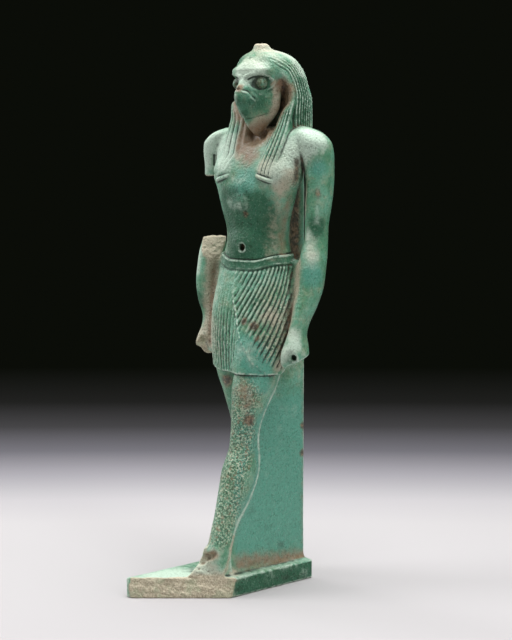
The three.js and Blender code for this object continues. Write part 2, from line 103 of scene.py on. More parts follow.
floor_mesh = bpy.data.meshes.new("paper")
floor_corners = [(PAPER_HALF * a, PAPER_HALF * b, 0) for a, b in ((-1, -1), (1, -1), (1, 1), (-1, 1))]
floor_mesh.from_pydata(floor_corners, [], [(0, 1, 2, 3)])
floor = bpy.data.objects.new("paper", floor_mesh)
bpy.context.collection.objects.link(floor)
paper = bpy.data.materials.new("paper")
paper.use_nodes = True
paper_tree = paper.node_tree
paper_shader = paper_tree.nodes["Principled BSDF"]
paper_shader.inputs["Roughness"].default_value = 0.9
paper_shader.inputs["Specular IOR Level"].default_value = 0.0
# The paper glows faintly in the room's dark colour: painted light standing in for the room's dim light on it.
paper_shader.inputs["Emission Color"].default_value = ROOM_DARK
paper_shader.inputs["Emission Strength"].default_value = 1.0
sheet_place = paper_tree.nodes.new("ShaderNodeTexCoord")
sheet_turn = paper_tree.nodes.new("ShaderNodeMapping")
sheet_turn.vector_type = "TEXTURE"
sheet_turn.inputs["Rotation"].default_value = (0, 0, VIEW_HEADING)
sheet_turn.inputs["Scale"].default_value = (PAPER_ACROSS * SHADE_REACH, SHADE_REACH, SHADE_REACH)
sheet_distance = paper_tree.nodes.new("ShaderNodeVectorMath")
sheet_distance.operation = "LENGTH"
# The painted shade: the paper's colour set by its distance from the figure.
sheet_shade = paper_tree.nodes.new("ShaderNodeValToRGB")
shades = sheet_shade.color_ramp.elements
while len(shades) < len(PAPER_PAINTED_SHADES):
    shades.new(0.5)
for element, (distance, red, blue) in zip(shades, PAPER_PAINTED_SHADES):
    element.position = distance / SHADE_REACH
    element.color = (red, red * PAPER_GREEN, blue, 1)
paper_tree.links.new(sheet_place.outputs["Object"], sheet_turn.inputs["Vector"])
paper_tree.links.new(sheet_turn.outputs["Vector"], sheet_distance.inputs[0])
paper_tree.links.new(sheet_distance.outputs["Value"], sheet_shade.inputs["Fac"])
paper_tree.links.new(sheet_shade.outputs["Color"], paper_shader.inputs["Base Color"])
floor_mesh.materials.append(paper)

# Studio light: a large soft box overhead, a tall one at the lens's right, a square one high at its left and
# a thin strip behind the figure's right. The paper throws light back up. The room is dark to the lens and
# lights the figure dimly.


def soft_box(name, place, aim, size, watts, spread=180):
    """A rectangular lamp of a given size at a place, turned to face an aim, its rays held to a cone."""
    data = bpy.data.lights.new(name, "AREA")
    data.shape = "RECTANGLE"
    data.size, data.size_y = size
    data.energy = watts
    data.spread = math.radians(spread)
    lamp = bpy.data.objects.new(name, data)
    bpy.context.collection.objects.link(lamp)
    lamp.location = place
    lamp.rotation_euler = (Vector(aim) - Vector(place)).to_track_quat("-Z", "Y").to_euler()
    return lamp


soft_box("overhead", (0.03, 0.05, 0.55), (0.0, 0.0, 0.0), (0.5, 0.40), 2.10, 120)
soft_box("left side", (0.47, -0.10, 0.30), (0, 0, 0.07), (0.16, 0.4), 0.85)
soft_box("front", (-0.35, -0.30, 0.40), (0, 0, 0.07), (0.25, 0.25), 1.40)
soft_box("right rim", (-0.45, 0.02, 0.24), (0, 0, 0.08), (0.12, 0.5), 0.65)

world = bpy.data.worlds.new("room")
world.use_nodes = True
bpy.context.scene.world = world
room = world.node_tree
room_light = room.nodes["Background"]
room_light.inputs["Color"].default_value = (0.5, 0.52, 0.5, 1)
room_light.inputs["Strength"].default_value = 0.10
room_dark = room.nodes.new("ShaderNodeBackground")
room_dark.inputs["Color"].default_value = ROOM_DARK
room_mix = room.nodes.new("ShaderNodeMixShader")
lens_ray = room.nodes.new("ShaderNodeLightPath")
room.links.new(lens_ray.outputs["Is Camera Ray"], room_mix.inputs[0])
room.links.new(room_light.outputs[0], room_mix.inputs[1])
room.links.new(room_dark.outputs[0], room_mix.inputs[2])
room.links.new(room_mix.outputs[0], room.nodes["World Output"].inputs["Surface"])

# The figure is one piece of glazed faience: a striding falcon-headed man on a plinth with a back pillar,
# pressed in a mould as one body of paste, cut over by hand while damp, glazed and fired. So it is
# modelled as paste too: every form is a distance, negative inside, and forms run together in fillets.

# Units are the figure's millimetres; x is its left, y its back, h the height over the plinth.
CELL = 0.2
MARGIN = 4
FAR = 9
PAST_GRID = 99
origin = np.array([0, axis_y, PLINTH_HEIGHT])
grid_low = (low - origin) / unit - MARGIN * CELL
grid_count = np.ceil((high - low) / unit / CELL).astype(int) + 2 * MARGIN
x_line, y_line, h_line = (
    (grid_low[k] + CELL * np.arange(grid_count[k])).astype(np.float32) for k in range(3)
)
paste = np.full(grid_count, FAR, np.float32)
break_near = np.full(grid_count, FAR, np.float32)


def space(x_range, y_range, h_range):
    """The grid's cells between two corners, as slices, with the coordinates there as broadcast arrays."""
    spans = tuple(
        slice(*np.searchsorted(line, ends))
        for line, ends in zip((x_line, y_line, h_line), (x_range, y_range, h_range))
    )
    x = x_line[spans[0]][:, None, None]
    y = y_line[spans[1]][None, :, None]
    h = h_line[spans[2]][None, None, :]
    return spans, x, y, h


def melt(a, b, fillet):
    """Two distances as one: the smaller, less (1 - |a - b| / fillet)^2 * fillet / 4 where they meet."""
    meet = np.maximum(1 - np.abs(a - b) / fillet, 0)
    return np.minimum(a, b) - meet * meet * fillet / 4


def mould(spans, distance, fillet):
    """Adds a form to the paste."""
    paste[spans] = melt(paste[spans], distance, fillet)


def carve(spans, distance, fillet=0.1):
    """Takes a form out of the paste: the larger of the paste and the form's outside."""
    paste[spans] = -melt(-paste[spans], distance, fillet)


def knock_off(spans, distance):
    """Breaks away all inside a distance, and marks the raw break."""
    paste[spans] = np.maximum(paste[spans], -distance)
    break_near[spans] = np.minimum(break_near[spans], np.abs(distance))


def evened(level):
    """A level turned into a distance: its value over the length of its own gradient."""
    slopes = np.gradient(level, CELL)
    return level / np.sqrt(sum(slope * slope for slope in slopes) + 1e-4)


def curve(table, at):
    """Values between the rows of a table: cubic Hermite spans whose slopes come from the rows around."""
    table = np.asarray(table, float)
    keys, values = table[:, 0], table[:, 1:]
    slopes = np.gradient(values, keys, axis=0)
    at = np.clip(np.asarray(at, float), keys[0], keys[-1])
    row = np.clip(np.searchsorted(keys, at) - 1, 0, len(keys) - 2)
    width = keys[row + 1] - keys[row]
    t = (at - keys[row]) / width
    t, width = t[..., None], width[..., None]
    result = (
        (2 * t**3 - 3 * t**2 + 1) * values[row]
        + (t**3 - 2 * t**2 + t) * width * slopes[row]
        + (3 * t**2 - 2 * t**3) * values[row + 1]
        + (t**3 - t**2) * width * slopes[row + 1]
    )
    return np.moveaxis(result, -1, 0).astype(np.float32)


def smooth(value, start, end):
    """0 before start, 1 after end, 3t^2 - 2t^3 between."""
    t = np.clip((value - start) / (end - start), 0, 1)
    return t * t * (3 - 2 * t)


LATTICE = 32


def grain(x, y, h, size, seed):
    """Random relief from -1 to 1: lattice values a given size apart, eased by 3t^2 - 2t^3 between."""
    lattice = np.random.default_rng(seed).uniform(-1, 1, (LATTICE,) * 3).astype(np.float32)
    corners, parts = [], []
    for value in (x, y, h):
        place = np.asarray(value, np.float32) / size
        whole = np.floor(place)
        part = place - whole
        corners.append(whole.astype(np.int32))
        parts.append(part * part * (3 - 2 * part))
    total = np.float32(0)
    for step in np.ndindex(2, 2, 2):
        weight = np.float32(1)
        for part, far in zip(parts, step):
            weight = weight * (part if far else 1 - part)
        places = tuple((corner + far) % LATTICE for corner, far in zip(corners, step))
        total = total + weight * lattice[places]
    return total


def sections(x, y, h, rows):
    """How far out a point lies in level sections: (|dx / a|^n + |dy / b|^n)^(1 / n).

    The half depth b is one before the middle and another behind it.
    """
    cx, cy, half_width, front, back, power = rows
    dx = np.abs((x - cx) / half_width)
    dy = y - cy
    dy = np.abs(dy / np.where(dy < 0, front, back))
    return (dx**power + dy**power) ** (1 / power)


SIDE_ROOM = 2.5
END_ROOM = 1.5
BREAK_SKIN = 0.6


def limb(table, fillet, mirrored=1, cuts=(), end_round=0.6):
    """Moulds a limb from its sections (h, x, y, half width, front, back, power) and breaks its ends off."""
    table = np.asarray(table, float)
    reach_x = (table[:, 1] - table[:, 3]).min() - SIDE_ROOM, (table[:, 1] + table[:, 3]).max() + SIDE_ROOM
    reach_y = (table[:, 2] - table[:, 4]).min() - SIDE_ROOM, (table[:, 2] + table[:, 5]).max() + SIDE_ROOM
    spans, x, y, h = space(
        np.sort(mirrored * np.array(reach_x)), reach_y, (table[0, 0] - END_ROOM, table[-1, 0] + END_ROOM)
    )
    side = evened(sections(mirrored * x, y, h, curve(table, h)) - 1)
    ends = np.maximum(table[0, 0] - h, h - table[-1, 0])
    distance = -melt(-side, np.broadcast_to(-ends, side.shape), end_round)
    for cut in cuts:
        broken = cut(x, y, h)
        distance = np.maximum(distance, -broken)
        nearer = np.minimum(break_near[spans], np.abs(broken))
        break_near[spans] = np.where(distance < BREAK_SKIN, nearer, break_near[spans])
    mould(spans, distance, fillet)


def ball(place, radii, fillet):
    """Moulds a swell of flesh: an ellipsoid, its level sqrt(sum((d / r)^2)) - 1."""
    reach = [(middle - radius - 2, middle + radius + 2) for middle, radius in zip(place, radii)]
    spans, *position = space(*reach)
    level = np.sqrt(sum(((d - middle) / radius) ** 2 for d, middle, radius in zip(position, place, radii)))
    mould(spans, evened(level - 1), fillet)


FAR_SQUARED = 99


def along(x, y, h, points):
    """Distance to a line through points: the least |d - t run| over its straight pieces.

    Along each, t is (d . run) / |run|^2, held between 0 and 1.
    """
    points = np.asarray(points, np.float32)
    least = np.float32(FAR_SQUARED)
    for start, end in zip(points[:-1], points[1:]):
        run = end - start
        dx, dy, dh = x - start[0], y - start[1], h - start[2]
        t = np.clip((dx * run[0] + dy * run[1] + dh * run[2]) / (run @ run), 0, 1)
        away = (dx - t * run[0]) ** 2 + (dy - t * run[1]) ** 2 + (dh - t * run[2]) ** 2
        least = np.minimum(least, away)
    return np.sqrt(least)


def line_space(points, margin=1.5):
    """The cells around a line of points."""
    points = np.asarray(points)
    return space(*[(points[:, k].min() - margin, points[:, k].max() + margin) for k in range(3)])


def sampled(field, points):
    """Values of a field at points, straight-line blends of the eight cells around each."""
    place = (points - grid_low) / CELL
    whole = np.clip(np.floor(place).astype(int), 0, np.array(field.shape) - 2)
    part = place - whole
    total = 0
    for step in np.ndindex(2, 2, 2):
        weight = np.prod(np.where(step, part, 1 - part), axis=1)
        total = total + weight * field[tuple((whole + step).T)]
    return total


SEARCH = 3


def on_skin(points, side=1, heading=44):
    """Points of the left side, or their mirror images, moved on a level heading to the skin met first."""
    points = np.asarray(points, float) * (side, 1, 1)
    turned = math.radians(heading * side)
    inwards = np.array([-math.sin(turned), math.cos(turned), 0])
    steps = np.arange(-SEARCH, SEARCH, CELL / 4)
    line = points[:, None] + steps[None, :, None] * inwards
    inside = sampled(paste, line.reshape(-1, 3)).reshape(len(points), -1) < 0
    return points + steps[np.argmax(inside, axis=1)][:, None] * inwards


def groove(points, radius, fillet=0.15):
    """Cuts a round-bottomed line along points on the skin."""
    spans, x, y, h = line_space(points)
    carve(spans, along(x, y, h, points) - radius, fillet)


def cord(points, radius, fillet=0.3):
    """Lays a thin raised line along points on the skin."""
    spans, x, y, h = line_space(points)
    mould(spans, along(x, y, h, points) - radius, fillet)


def block(x, y, h, centre, half, edge):
    """Distance from a box with rounded edges.

    With q = |p - c| - half + edge it is the length of q's positive part, or q's largest inside, less edge.
    """
    qx = np.abs(x - centre[0]) - half[0] + edge
    qy = np.abs(y - centre[1]) - half[1] + edge
    qh = np.abs(h - centre[2]) - half[2] + edge
    outside = np.sqrt(np.maximum(qx, 0) ** 2 + np.maximum(qy, 0) ** 2 + np.maximum(qh, 0) ** 2)
    return outside + np.minimum(np.maximum(np.maximum(qx, qy), qh), 0) - edge


# The plinth is a low slab. Its left front corner has broken away with the left foot, along a face that
# leans back and shows the layers of the paste. BREAK_FRONT of the front edge is left, and BREAK_LENGTH of
# the left edge is lost.

PLINTH_WIDTH = 17.4
BREAK_FRONT = 1.8
BREAK_LENGTH = 14.8
BREAK_LEAN = 0.25
plinth_depth = PLINTH_HEIGHT / unit
plinth_y = -axis_y / unit
front_y = plinth_y - PLINTH_LENGTH / 2

spans, x, y, h = space((-PAST_GRID, PAST_GRID), (-PAST_GRID, PAST_GRID), (-PAST_GRID, 3))
slab = block(
    x, y, h, (0, plinth_y, -plinth_depth / 2), (PLINTH_WIDTH / 2, PLINTH_LENGTH / 2, plinth_depth / 2), 0.45
)
worn_top = 0.10 * grain(x, y, h, 3.1, 1) + 0.05 * grain(x, y, h, 0.9, 2)
mould(spans, slab + worn_top * smooth(h, -plinth_depth + 0.3, -plinth_depth + 1.2), 0.2)

# The pillar is a plain upright slab of the same paste. It runs up the back to the wig, and its faces were
# smoothed by hand while damp.

PILLAR_HALF = 6.7
PILLAR_TOP = 97
PILLAR_DEPTH = 5.0


def flat_wear(x, y, h):
    """The slow waves and small dips of a flat that was smoothed by hand."""
    return 0.06 * grain(x, y, h, 4.3, 3) + 0.03 * grain(x, y, h, 1.1, 4)


spans, x, y, h = space((-8, 8), (1, 10.5), (-3, 99))
pillar_mid = PILLAR_BACK - PILLAR_DEPTH / 2
pillar = block(
    x, y, h, (0, pillar_mid, PILLAR_TOP / 2 - 1), (PILLAR_HALF, PILLAR_DEPTH / 2, PILLAR_TOP / 2 + 1), 0.35
)
mould(spans, pillar + flat_wear(x, y, h), 0.5)

# The advanced left leg is bare below the kilt, and a flat panel fills the space from it to the pillar,
# with a thin rim beside the leg. The foot is lost: the ankle ends in a rough heap on the broken plinth.

foot_root = [
    [-1.2, 3.4, -19.2, 3.6, 4.6, 3.0, 2.4],
    [0.6, 3.5, -19.0, 3.4, 4.3, 3.0, 2.2],
    [2.6, 3.9, -18.4, 2.9, 3.4, 2.6, 2.0],
    [4.6, 4.1, -17.9, 2.5, 3.2, 2.2, 2.0],
    [6.3, 4.2, -17.7, 2.1, 2.9, 2.0, 2.0],
]
limb(foot_root, 0.8)


def break_relief(x, y, h, seed):
    """Rough paste: coarse lumps, layers that lie nearly level, and crumbs."""
    layers = grain(x, y, h * 3.2, 2.2, seed)
    crumbs = grain(x, y, h * 1.4, 0.62, seed + 2)
    return 0.18 * grain(x, y, h, 1.9, seed + 1) + 0.15 * layers + 0.18 * crumbs


spans, x, y, h = space((-8, PAST_GRID), (-PAST_GRID, plinth_y - 1), (-PAST_GRID, 9))
across = math.hypot(PLINTH_WIDTH - BREAK_FRONT, BREAK_LENGTH)
line_x, line_y = BREAK_LENGTH / across, -(PLINTH_WIDTH - BREAK_FRONT) / across
set_back = BREAK_LEAN * (h + plinth_depth)
lost = (x - BREAK_FRONT + PLINTH_WIDTH / 2) * line_x + (y - front_y) * line_y + set_back
knock_off(spans, -lost + break_relief(x, y, h, 20) * smooth(h, -plinth_depth, -plinth_depth + 1))

PANEL_THICKNESS = 4.2
PANEL_TOP = 50
leg_back = [
    [-3, -16.6], [5.2, -16.6], [9.7, -15.4], [16, -12.5], [22.6, -10.2], [27, -9.0], [33.5, -8.0],
    [40.8, -5.6], [46, -3],
]
spans, x, y, h = space((0, 8.5), (-19, 8), (-3, 52))
panel_front = curve(leg_back, h)[0]
panel_sides = np.maximum(x - PILLAR_HALF, PILLAR_HALF - PANEL_THICKNESS - x)
panel_ends = np.maximum(panel_front - y, y - pillar_mid)
panel = np.maximum(panel_sides, panel_ends)
mould(spans, np.maximum(panel, h - PANEL_TOP) + flat_wear(x, y, h), 0.02)

left_leg = [
    [-1.5, 4.2, -16.2, 2.0, 1.4, 1.9, 2.2],
    [0.6, 4.2, -16.5, 2.4, 2.1, 2.3, 2.2],
    [2.8, 4.2, -16.9, 2.5, 2.8, 2.6, 2.2],
    [5.5, 4.2, -16.9, 2.4, 2.6, 2.5, 2.2],
    [7.1, 4.2, -16.4, 2.4, 2.5, 2.5, 2.1],
    [9.7, 4.2, -15.5, 2.4, 2.7, 2.7, 2.0],
    [12.9, 4.2, -13.9, 2.65, 3.2, 3.2, 2.0],
    [16.0, 4.2, -12.5, 3.05, 3.7, 3.7, 2.0],
    [19.2, 4.2, -11.2, 3.4, 4.1, 4.1, 2.0],
    [22.6, 4.2, -10.2, 3.5, 4.2, 4.2, 2.0],
    [25.2, 4.2, -9.5, 3.15, 3.8, 3.8, 2.0],
    [27.1, 4.2, -9.0, 2.85, 3.5, 3.4, 2.0],
    [29.7, 4.2, -8.8, 2.75, 3.3, 3.2, 2.0],
    [33.5, 4.2, -8.2, 2.95, 3.5, 3.5, 2.0],
    [37.1, 4.2, -7.1, 3.6, 4.3, 4.3, 2.0],
    [40.8, 4.3, -5.9, 4.4, 5.0, 5.2, 2.0],
    [45, 4.3, -4.8, 4.5, 4.7, 5.8, 2.0],
    [50, 4.3, -4.0, 4.5, 4.2, 5.8, 2.0],
]
limb(left_leg, 0.9)
cord([(PILLAR_HALF - 0.1, -15.5, 0), (PILLAR_HALF - 0.1, PILLAR_BACK - 0.5, 0)], 0.5, 1.0)

heights = np.arange(1.2, 44, 1.4)
leg_x, leg_y, leg_half, _, leg_back_reach, _ = curve(left_leg, heights)
rim_y = leg_y + leg_back_reach * np.sqrt(np.maximum(1 - ((PILLAR_HALF - leg_x) / leg_half) ** 2, 0.05))
panel_rim = np.stack([np.full_like(rim_y, PILLAR_HALF + 0.05), rim_y + 0.5, heights], 1)
cord(panel_rim, 0.14, 0.3)

HEAP_PLACE = (2.5, -20.7, 0.8)
HEAP_RADIUS = 3.2
HEAP_HEIGHT = 4.0
spans, x, y, h = space((-8, PAST_GRID), (-PAST_GRID, plinth_y - 1), (-2, 9))
heap = ((x - HEAP_PLACE[0]) / HEAP_RADIUS) ** 2 + ((y - HEAP_PLACE[1]) / HEAP_RADIUS) ** 2
heap = heap + ((h - HEAP_PLACE[2]) / HEAP_HEIGHT) ** 2 - 1
heaped = (heap < 0) & (h > 0.15)
paste[spans] = np.where(heaped, paste[spans] + 0.3 * break_relief(x, y, h, 30), paste[spans])
break_near[spans] = np.where(heaped, 0, break_near[spans])
ankle_pit = on_skin([(1.9, -19.9, 3.6), (3.3, -19.8, 4.3), (4.8, -19.0, 5.0)])
spans, x, y, h = line_space(ankle_pit)
pit_radius = 1.05 - 0.40 * smooth(x, 3.0, 5.5) + 0.25 * grain(x, y, h, 0.9, 31)
carve(spans, along(x, y, h, ankle_pit) - pit_radius, 0.5)

# The right leg stands straight under the body, against the pillar. Its foot is flat on the plinth, with
# the toes cut apart by hand.

right_leg = [
    [-1.5, -3.9, 2.2, 1.9, 2.3, 2.5, 2.0],
    [4.7, -3.9, 2.3, 1.9, 2.4, 2.4, 2.0],
    [10, -3.95, 2.2, 2.2, 2.7, 3.0, 2.0],
    [17, -4.0, 2.1, 3.0, 3.3, 4.2, 2.0],
    [22, -4.0, 2.0, 3.2, 3.6, 4.2, 2.0],
    [28.7, -4.0, 1.0, 3.0, 3.5, 3.8, 2.0],
    [37.3, -4.5, 0.1, 4.0, 4.7, 4.8, 2.0],
    [43.7, -5.2, -0.8, 4.9, 5.3, 5.2, 2.0],
    [50, -5.2, -0.8, 5.0, 5.2, 5.2, 2.0],
]
limb(right_leg, 0.5)

TOE_TIP = -11.2
HEEL = 5
foot_rows = [
    [TOE_TIP, -4.6, 2.2, 1.2],
    [-10.2, -4.6, 2.6, 1.8],
    [-7, -4.5, 2.6, 2.3],
    [-3.5, -4.2, 2.3, 3.4],
    [0, -4.0, 2.0, 5.2],
    [3, -3.9, 2.0, 4.6],
    [HEEL, -3.9, 1.5, 2.6],
]
spans, x, y, h = space((-9, 0), (-13, 7), (-2, 8))
foot_x, foot_half, foot_high = (row[None, :, None] for row in curve(foot_rows, y[0, :, 0]))
level = (np.abs((x - foot_x) / foot_half) ** 2.5 + np.abs(h / foot_high) ** 2.5) ** 0.4 - 1
foot = np.maximum(evened(level), np.maximum(TOE_TIP - y, y - HEEL))
mould(spans, foot, 0.5)
for toe_x in (-5.9, -5.2, -4.5, -3.7):
    groove([(toe_x, -11.6, 0.9), (toe_x + 0.1, -10.4, 1.75), (toe_x + 0.15, -9.3, 2.1)], 0.16)

# The wrapped kilt: pleats slant across its left side to the free edge, which crosses the lap as a
# beaded line, and stand upright on its right. A plain belt, lowest in front, has a cord on each rim.

PLEAT_SPACING = 7.2
PLEAT_DEPTH = 0.33
BEAD_SPACING = 0.95
BELT_FOOT = 66.1
BELT_TOP = 68.2
BELT_RISE = 1.4
HEM = 43.5
kilt_rows = [
    [43.4, 0, -0.4, 10.5, 7.6, 6.6, 2.15],
    [46.7, 0, -0.4, 11.1, 7.7, 6.6, 2.15],
    [53.7, 0, -0.5, 11.5, 7.6, 6.5, 2.15],
    [58.2, 0, -0.4, 11.2, 7.2, 6.4, 2.15],
    [61.7, 0, -0.4, 10.7, 6.4, 6.3, 2.1],
    [66.0, 0, -0.3, 9.9, 5.7, 6.1, 2.1],
    [69.7, 0, -0.3, 9.2, 5.2, 6.0, 2.1],
]
wrap_edge = [
    [43.4, -32], [44.6, -39], [45.7, -48.5], [46.9, -54.5], [48.6, -60], [50.9, -69.7],
    [53.9, -78], [57, -85], [60, -92], [63, -94.5], [68.2, -94],
]


def hung(x, y, h):
    """Height as the belt sees it: it sags in front, by BELT_RISE at the middle."""
    return h - BELT_RISE * np.where(y < 0, smooth(np.abs(x - 0.3), 3.0, 9.5), 1)


spans, x, y, h = space((-13.5, 13.5), (-14, 8), (HEM - 2, BELT_TOP + 3))
rows = curve(kilt_rows, h)
cx, cy, half_width, front, back, power = rows
thigh = 3.7 * smooth(66 - h, 0, 24) * np.exp(-(((x - 5.7) / 4.9) ** 2))
lapped_y = np.where(y < cy, np.minimum(y + thigh, cy), y)
kilt = evened(sections(x, lapped_y, h, rows) - 1)
dx = (x - cx) / half_width
dy = (lapped_y - cy) / np.where(lapped_y < cy, front, back)
turn = np.degrees(
    np.arctan2(np.sign(dy) * np.abs(dy) ** (power / 2), np.sign(dx) * np.abs(dx) ** (power / 2))
)
turn = np.where(turn > 90, turn - 360, turn)
from_edge = turn - curve(wrap_edge, h)[0]
belt_height = hung(x, y, h)
under_belt = BELT_FOOT - belt_height


RIDGE_MEAN = 0.6


def pleats(phase, sharpness=1.6):
    """Rounded ridges with narrow grooves between: |sin(pi phase)|^(1 / sharpness), 0 in the groove."""
    return np.abs(np.sin(np.pi * phase)) ** (1 / sharpness)


fall = np.maximum(under_belt, 0)
left_phase = (turn + 95 + 2.9 * fall - 0.02 * fall**2) / PLEAT_SPACING + 0.08 * grain(x, y, h, 1.7, 10)
right_phase = (turn + 218) / (PLEAT_SPACING * 0.8) + 0.08 * grain(x, y, h, 2.1, 11)
worn_lap = np.exp(-(((from_edge - 7) / 10) ** 2)) * smooth(57 - h, 0, 6)
left_strength = (1 - 0.9 * worn_lap) * smooth(turn, -110, -70)
right_strength = 0.9 * (0.1 + 0.9 * smooth(58 - h, -6, 8)) * smooth(-turn, 60, 100)
hem_height = HEM + 1.0 * smooth(-x, 4, 10.5) + 0.12 * grain(x, y, 0, 2.3, 9)
hem_height = hem_height + 3.2 * smooth(y, -3.6, -0.6) * smooth(x, 6, 9)
left_strength = left_strength * (0.25 + 0.75 * smooth(h - hem_height, 0.8, 2.4))
left_ridges = left_strength * (pleats(left_phase, 1.35) - RIDGE_MEAN)
right_ridges = right_strength * (pleats(right_phase) - RIDGE_MEAN)
ridges = np.where(from_edge > 0, left_ridges, right_ridges)
ridges = ridges * smooth(under_belt, 0.1, 0.6) * smooth(30 - turn, 0, 20) * smooth(turn + 218, 0, 20)
chips = 0.6 * grain(x, y, h, 1.3, 7) + 0.6 * grain(x, y, h, 0.5, 8)
kilt = kilt - 2 * PLEAT_DEPTH * ridges * (1 - 0.7 * smooth(chips, 0.1, 0.6))
border = np.exp(-(((from_edge - 0.8) / 1.0) ** 2)) * smooth(under_belt, 4, 6)
border = border * (0.35 + 0.65 * smooth(h, 49, 53))
beads = 0.72 + 0.28 * np.sin(h * 2 * np.pi / BEAD_SPACING)
kilt = kilt - 0.45 * border * beads - 0.12 * smooth(from_edge, -0.8, 0.8) * (y < cy)
belt_band = smooth(-under_belt, -0.1, 0.15)
belt_cords = np.exp(-((under_belt + 0.22) / 0.2) ** 2) + np.exp(-((belt_height - BELT_TOP + 0.28) / 0.2) ** 2)
kilt = kilt - 0.10 * belt_band - 0.10 * belt_cords + 0.20 * np.exp(-((under_belt - 0.25) / 0.2) ** 2)
kilt = np.maximum(kilt, np.maximum(hem_height - h, belt_height - BELT_TOP)) + 0.06 * grain(x, y, h, 0.7, 6)
mould(spans, kilt, 0.12)

# The body above the belt has a narrow waist, a full chest and square shoulders, one with the pillar
# behind. The navel is drilled deep.

torso = [
    [62, 0, -0.3, 9.2, 6.0, 6.2, 2.2],
    [68, 0, -0.3, 9.0, 5.2, 6.0, 2.2],
    [72.4, 0, -0.1, 8.0, 5.0, 5.6, 2.1],
    [75, 0, -0.1, 8.1, 5.0, 5.4, 2.1],
    [78.1, 0, -0.4, 8.9, 4.9, 5.6, 2.2],
    [81.3, 0, -0.4, 10.0, 4.9, 5.6, 2.3],
    [84.1, 0, -0.3, 10.9, 5.1, 5.6, 2.3],
    [86.7, 0, 0.2, 11.6, 5.0, 5.4, 2.4],
    [90.7, 0, 1.2, 12.6, 4.8, 5.0, 2.5],
    [93.7, 0, 2.2, 13.2, 4.5, 4.6, 2.5],
    [96.2, 0, 2.9, 12.9, 3.8, 4.0, 2.4],
    [97.7, 0, 3.2, 11.4, 2.4, 3.0, 2.2],
]
limb(torso, 0.5, end_round=2.5)
for side in (-1, 1):
    ball((side * 6.2, -0.2, 87.2), (5.8, 4.6, 4.3), 1.2)
ball((0, -1.7, 80.6), (3.8, 4.1, 2.3), 1.4)
ball((0, -1.4, 71.8), (5.0, 4.4, 3.6), 1.8)
spans, x, y, h = space((-13, 13), (-9, 3), (BELT_TOP - 0.6, 72))
waist = evened(sections(x, y, h, curve(torso, h)) - 1)
carve(spans, np.hypot(hung(x, y, h) - BELT_TOP - 0.1, np.minimum(waist, 0)) - 0.16, 0.12)

navel_rim = on_skin([(-0.3, -5.8, 70.7), (0.2, -5.8, 70.1), (0.9, -5.8, 70.1), (1.5, -5.6, 70.6)])
cord(navel_rim, 0.22, 0.5)
navel = [(0.6, -7.5, 71.0), (0.6, -5.2, 71.0)]
groove(navel, 0.85, 0.3)

# The left arm hangs whole beside the body, its fist closed on a peg of which the drilled end shows.
# The right arm has lost its upper arm and elbow; a web of paste still joins each forearm to the kilt.

FIST_PIT = 0.68
arm_rows = [
    [44.6, 14.2, -3.6, 1.9, 2.6, 2.4, 2.3],
    [46.4, 14.2, -3.4, 2.4, 3.1, 3.1, 2.5],
    [48.4, 14.3, -3.2, 2.5, 3.3, 3.2, 2.4],
    [50.4, 14.35, -2.9, 2.2, 2.9, 2.8, 2.3],
    [52.2, 14.3, -2.6, 1.95, 2.4, 2.4, 2.0],
    [54.6, 14.5, -2.0, 1.9, 2.3, 2.3, 2.0],
    [58.2, 14.8, -0.6, 2.4, 2.8, 2.7, 2.0],
    [62.2, 14.95, 0.9, 2.7, 3.1, 3.0, 2.0],
    [66.5, 14.9, 1.6, 2.85, 3.3, 3.2, 2.0],
    [69.5, 14.9, 2.1, 2.75, 3.2, 3.2, 2.0],
    [72.6, 14.9, 2.8, 2.35, 2.9, 2.9, 2.0],
    [76.1, 14.9, 3.0, 2.35, 2.9, 2.9, 2.0],
    [80.0, 14.9, 3.5, 2.6, 3.2, 3.2, 2.0],
    [84.0, 14.9, 3.95, 2.75, 3.4, 3.4, 2.0],
    [89.1, 14.6, 4.1, 3.0, 3.7, 3.6, 2.0],
    [92.2, 14.2, 3.8, 3.35, 3.9, 3.8, 2.1],
    [94.3, 13.7, 3.4, 3.4, 3.7, 3.7, 2.1],
    [96.3, 12.2, 3.2, 2.7, 2.8, 2.9, 2.0],
    [97.3, 11.3, 3.2, 1.8, 1.8, 2.0, 2.0],
]
limb(arm_rows, 0.9, end_round=1.6)

spans, x, y, h = space((11.7, 18), (-8, 2), (43, 50.5))
under_fist = 0.90 * (h - 45.2 - 0.34 * (x - 13) - 0.34 * (y + 5.5))
front_facet = 0.48 * (h - 47.4) - 0.35 * (x - 14.8) + 0.80 * (y + 6.0)
carve(spans, under_fist, 0.4)
carve(spans, np.maximum(front_facet, h - 50), 0.4)

RIGHT_SPREAD = 0.6
RIGHT_LEAD = 0.9
RIGHT_LAG = 2.0
right_rows = np.array(arm_rows)
lower = 1 - smooth(right_rows[:, 0], 54, 62)
right_rows[:, 1] += RIGHT_SPREAD * (1 - lower) * (1 - smooth(right_rows[:, 0], 93, 96))
right_rows[:, 2] += RIGHT_LAG * lower - RIGHT_LEAD * (1 - lower)


def break_plane(place, tilt, heading, seed):
    """A rough break through a place: the height over a plane that falls by tan(tilt) along a heading."""

    def distance(x, y, h):
        heading_x, heading_y = math.sin(math.radians(heading)), -math.cos(math.radians(heading))
        outwards = (x - place[0]) * heading_x + (y - place[1]) * heading_y
        plane = (h - place[2]) * math.cos(tilt) + outwards * math.sin(tilt)
        return plane + 0.8 * break_relief(x, y, h, seed)

    return distance


def lost_below(x, y, h):
    """All under the break at the shoulder stump."""
    return break_plane((-15.4, 3.2, 87.2), 0.22, 0, 40)(x, y, h)


def lost_above(x, y, h):
    """All over the break at the top of the right forearm, level behind and steep in front."""
    behind = break_plane((-15.4, 1.2, 72.4), 0.12, 44, 50)(x, y, h)
    in_front = break_plane((-15.0, -0.2, 70.6), 0.95, 50, 52)(x, y, h)
    return -np.maximum(behind, in_front)


